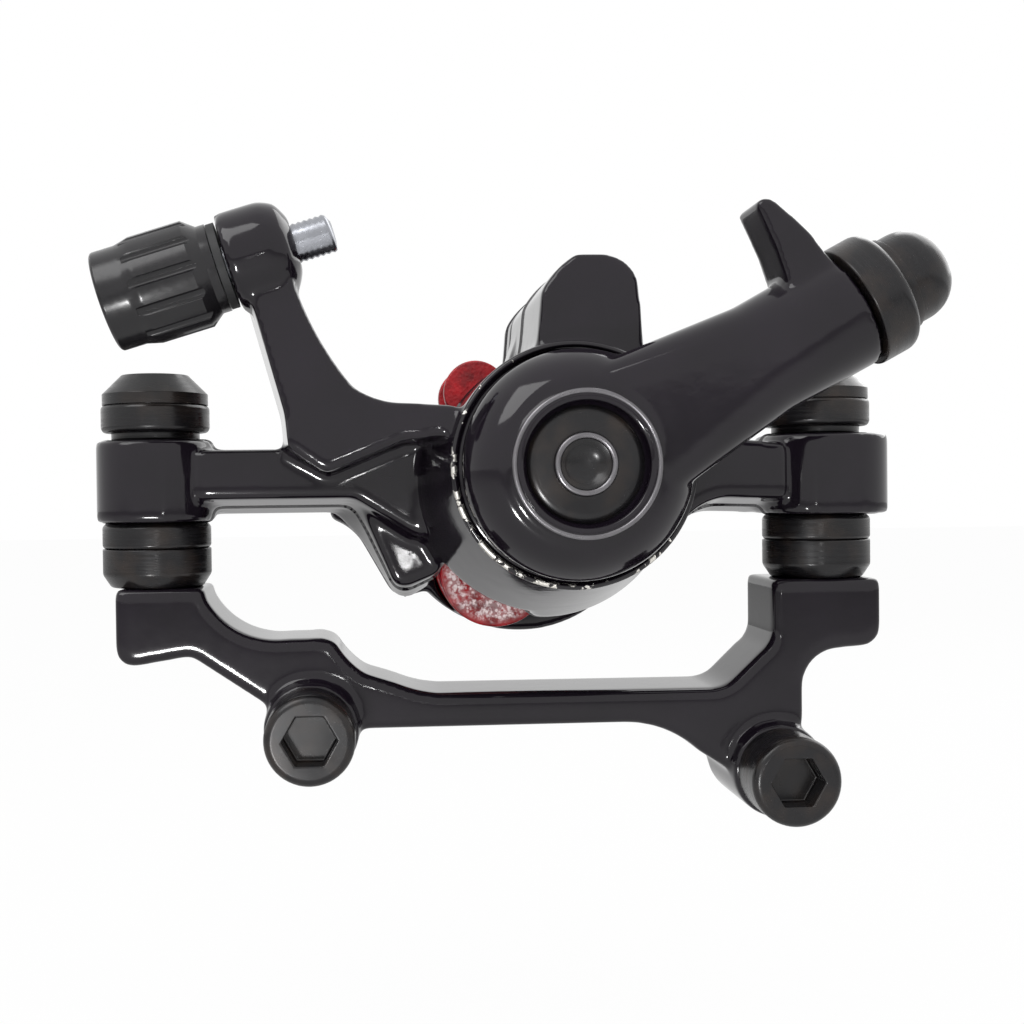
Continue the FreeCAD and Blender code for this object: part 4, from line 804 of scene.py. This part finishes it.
def aim():
    """The camera's turn: the photograph looks slightly to +X, slightly down, and leans a little."""
    yaw, pitch, roll = (math.radians(a) for a in (CAMERA_YAW, CAMERA_PITCH, CAMERA_ROLL))
    ahead = Vector((math.sin(yaw) * math.cos(pitch), math.cos(yaw) * math.cos(pitch),
                    math.sin(pitch)))
    level = Vector((math.cos(yaw), -math.sin(yaw), 0))
    upright = level.cross(ahead)
    right = level * math.cos(roll) - upright * math.sin(roll)
    above = right.cross(ahead)
    return Matrix((right, above, -ahead)).transposed()


def lamp(name, at, size, power, mirrored):
    """A square soft box that faces the object, and that gloss shows or doesn't."""
    data = bpy.data.lights.new(name, "AREA")
    data.shape = "SQUARE"
    data.size = size
    data.energy = power
    obj = bpy.data.objects.new(name, data)
    obj.location = at
    obj.visible_glossy = mirrored
    obj.rotation_euler = (Vector(LAMP_TARGET) - Vector(at)).to_track_quat("-Z", "Y").to_euler()
    bpy.context.scene.collection.objects.link(obj)


def studio_white():
    """Matt white paper: it glows for the camera, less so in gloss, and keeps a faint shadow."""
    material, tree, shader, _ = blank("white_paper")
    if tree is None:
        return material
    shader.inputs["Base Color"].default_value = grey(PAPER_GREY)
    shader.inputs["Roughness"].default_value = 0.9
    shader.inputs["Specular IOR Level"].default_value = 0.1
    ray = add(tree, "LightPath")
    mirrored = add(tree, "Math", {"operation": "MULTIPLY"}, {0: (ray, "Is Glossy Ray")})
    mirrored.inputs[1].default_value = FLOOR_GLOW_IN_GLOSS
    seen = add(tree, "Math", {"operation": "MAXIMUM"},
               {0: (ray, "Is Camera Ray"), 1: (mirrored, "Value")})
    share = add(tree, "Math", {"operation": "MULTIPLY"}, {0: (seen, "Value")})
    share.inputs[1].default_value = FLOOR_GLOW
    glow = add(tree, "Emission", {"Color": grey(1.0), "Strength": 1.0})
    mixed = add(tree, "MixShader",
                links={0: (share, "Value"), 1: (shader, "BSDF"), 2: (glow, "Emission")})
    out = next(n for n in tree.nodes if n.type == "OUTPUT_MATERIAL")
    tree.links.new(mixed.outputs["Shader"], out.inputs["Surface"])
    return material


def white_world():
    """White where it is seen directly, in gloss or through glass, and dimmer as a light."""
    world = bpy.data.worlds.new("studio")
    bpy.context.scene.world = world
    world.use_nodes = True
    tree = world.node_tree
    tree.nodes.clear()
    ray = add(tree, "LightPath")
    seen = add(tree, "Math", {"operation": "MAXIMUM"},
               {0: (ray, "Is Camera Ray"), 1: (ray, "Is Glossy Ray")})
    through = add(tree, "Math", {"operation": "MAXIMUM"},
                  {0: (seen, "Value"), 1: (ray, "Is Transmission Ray")})
    level = add(tree, "MapRange", {"To Min": WORLD_LIGHT, "To Max": WORLD_SEEN},
                {"Value": (through, "Value")})
    back = add(tree, "Background", {"Color": grey(1.0)}, {"Strength": (level, "Result")})
    add(tree, "OutputWorld", links={"Surface": (back, "Background")})


class CALIPER_OT_studio(bpy.types.Operator):
    """Pale floor, soft lamps and the photograph's camera"""
    bl_idname = "caliper.studio"
    bl_label = "Studio"

    def execute(self, context):
        scene = context.scene
        scene.view_settings.view_transform = "Standard"
        white_world()
        shape = bmesh.new()
        bmesh.ops.create_grid(shape, x_segments=1, y_segments=1, size=FLOOR_HALF_WIDTH)
        bmesh.ops.translate(shape, verts=shape.verts, vec=(0, 0, FLOOR_LEVEL))
        mesh = bpy.data.meshes.new("paper_floor")
        shape.to_mesh(mesh)
        shape.free()
        floor = bpy.data.objects.new("paper_floor", mesh)
        scene.collection.objects.link(floor)
        mesh.materials.append(studio_white())
        for settings in LAMPS:
            lamp(*settings)
        data = bpy.data.cameras.new("photo_camera")
        data.lens = CAMERA_LENS
        data.sensor_width = CAMERA_SENSOR
        data.shift_x = CAMERA_SHIFT
        data.clip_start, data.clip_end = CAMERA_CLIP
        camera = bpy.data.objects.new("photo_camera", data)
        camera.matrix_world = Matrix.Translation(CAMERA_AT) @ aim().to_4x4()
        scene.collection.objects.link(camera)
        scene.camera = camera
        return {"FINISHED"}


class CALIPER_PT_panel(bpy.types.Panel):
    """Lists the pieces of the caliper"""
    bl_idname = "CALIPER_PT_panel"
    bl_label = "Caliper"
    bl_space_type = "VIEW_3D"
    bl_region_type = "UI"
    bl_category = "Caliper"

    def draw(self, context):
        column = self.layout.column()
        for operator in OPERATORS:
            column.operator(operator.bl_idname)
        for group in (context.scene.caliper_sizes, context.scene.caliper_colours):
            for name in group.__annotations__:
                column.prop(group, name)


OPERATORS = (CALIPER_OT_castings, CALIPER_OT_lever, CALIPER_OT_fasteners, CALIPER_OT_barrel,
             CALIPER_OT_pads, CALIPER_OT_inner_parts, CALIPER_OT_studio)
CLASSES = (CaliperSizes, CaliperColours) + OPERATORS + (CALIPER_PT_panel,)


def register():
    for item in CLASSES:
        bpy.utils.register_class(item)
    bpy.types.Scene.caliper_sizes = bpy.props.PointerProperty(type=CaliperSizes)
    bpy.types.Scene.caliper_colours = bpy.props.PointerProperty(type=CaliperColours)


def unregister():
    del bpy.types.Scene.caliper_colours
    del bpy.types.Scene.caliper_sizes
    for item in reversed(CLASSES):
        bpy.utils.unregister_class(item)


def main():
    register()
    bpy.ops.caliper.castings()
    bpy.ops.caliper.lever()
    bpy.ops.caliper.fasteners()
    bpy.ops.caliper.barrel()
    bpy.ops.caliper.pads()
    bpy.ops.caliper.inner_parts()
    bpy.ops.caliper.studio()


if __name__ == "__main__":
    main()
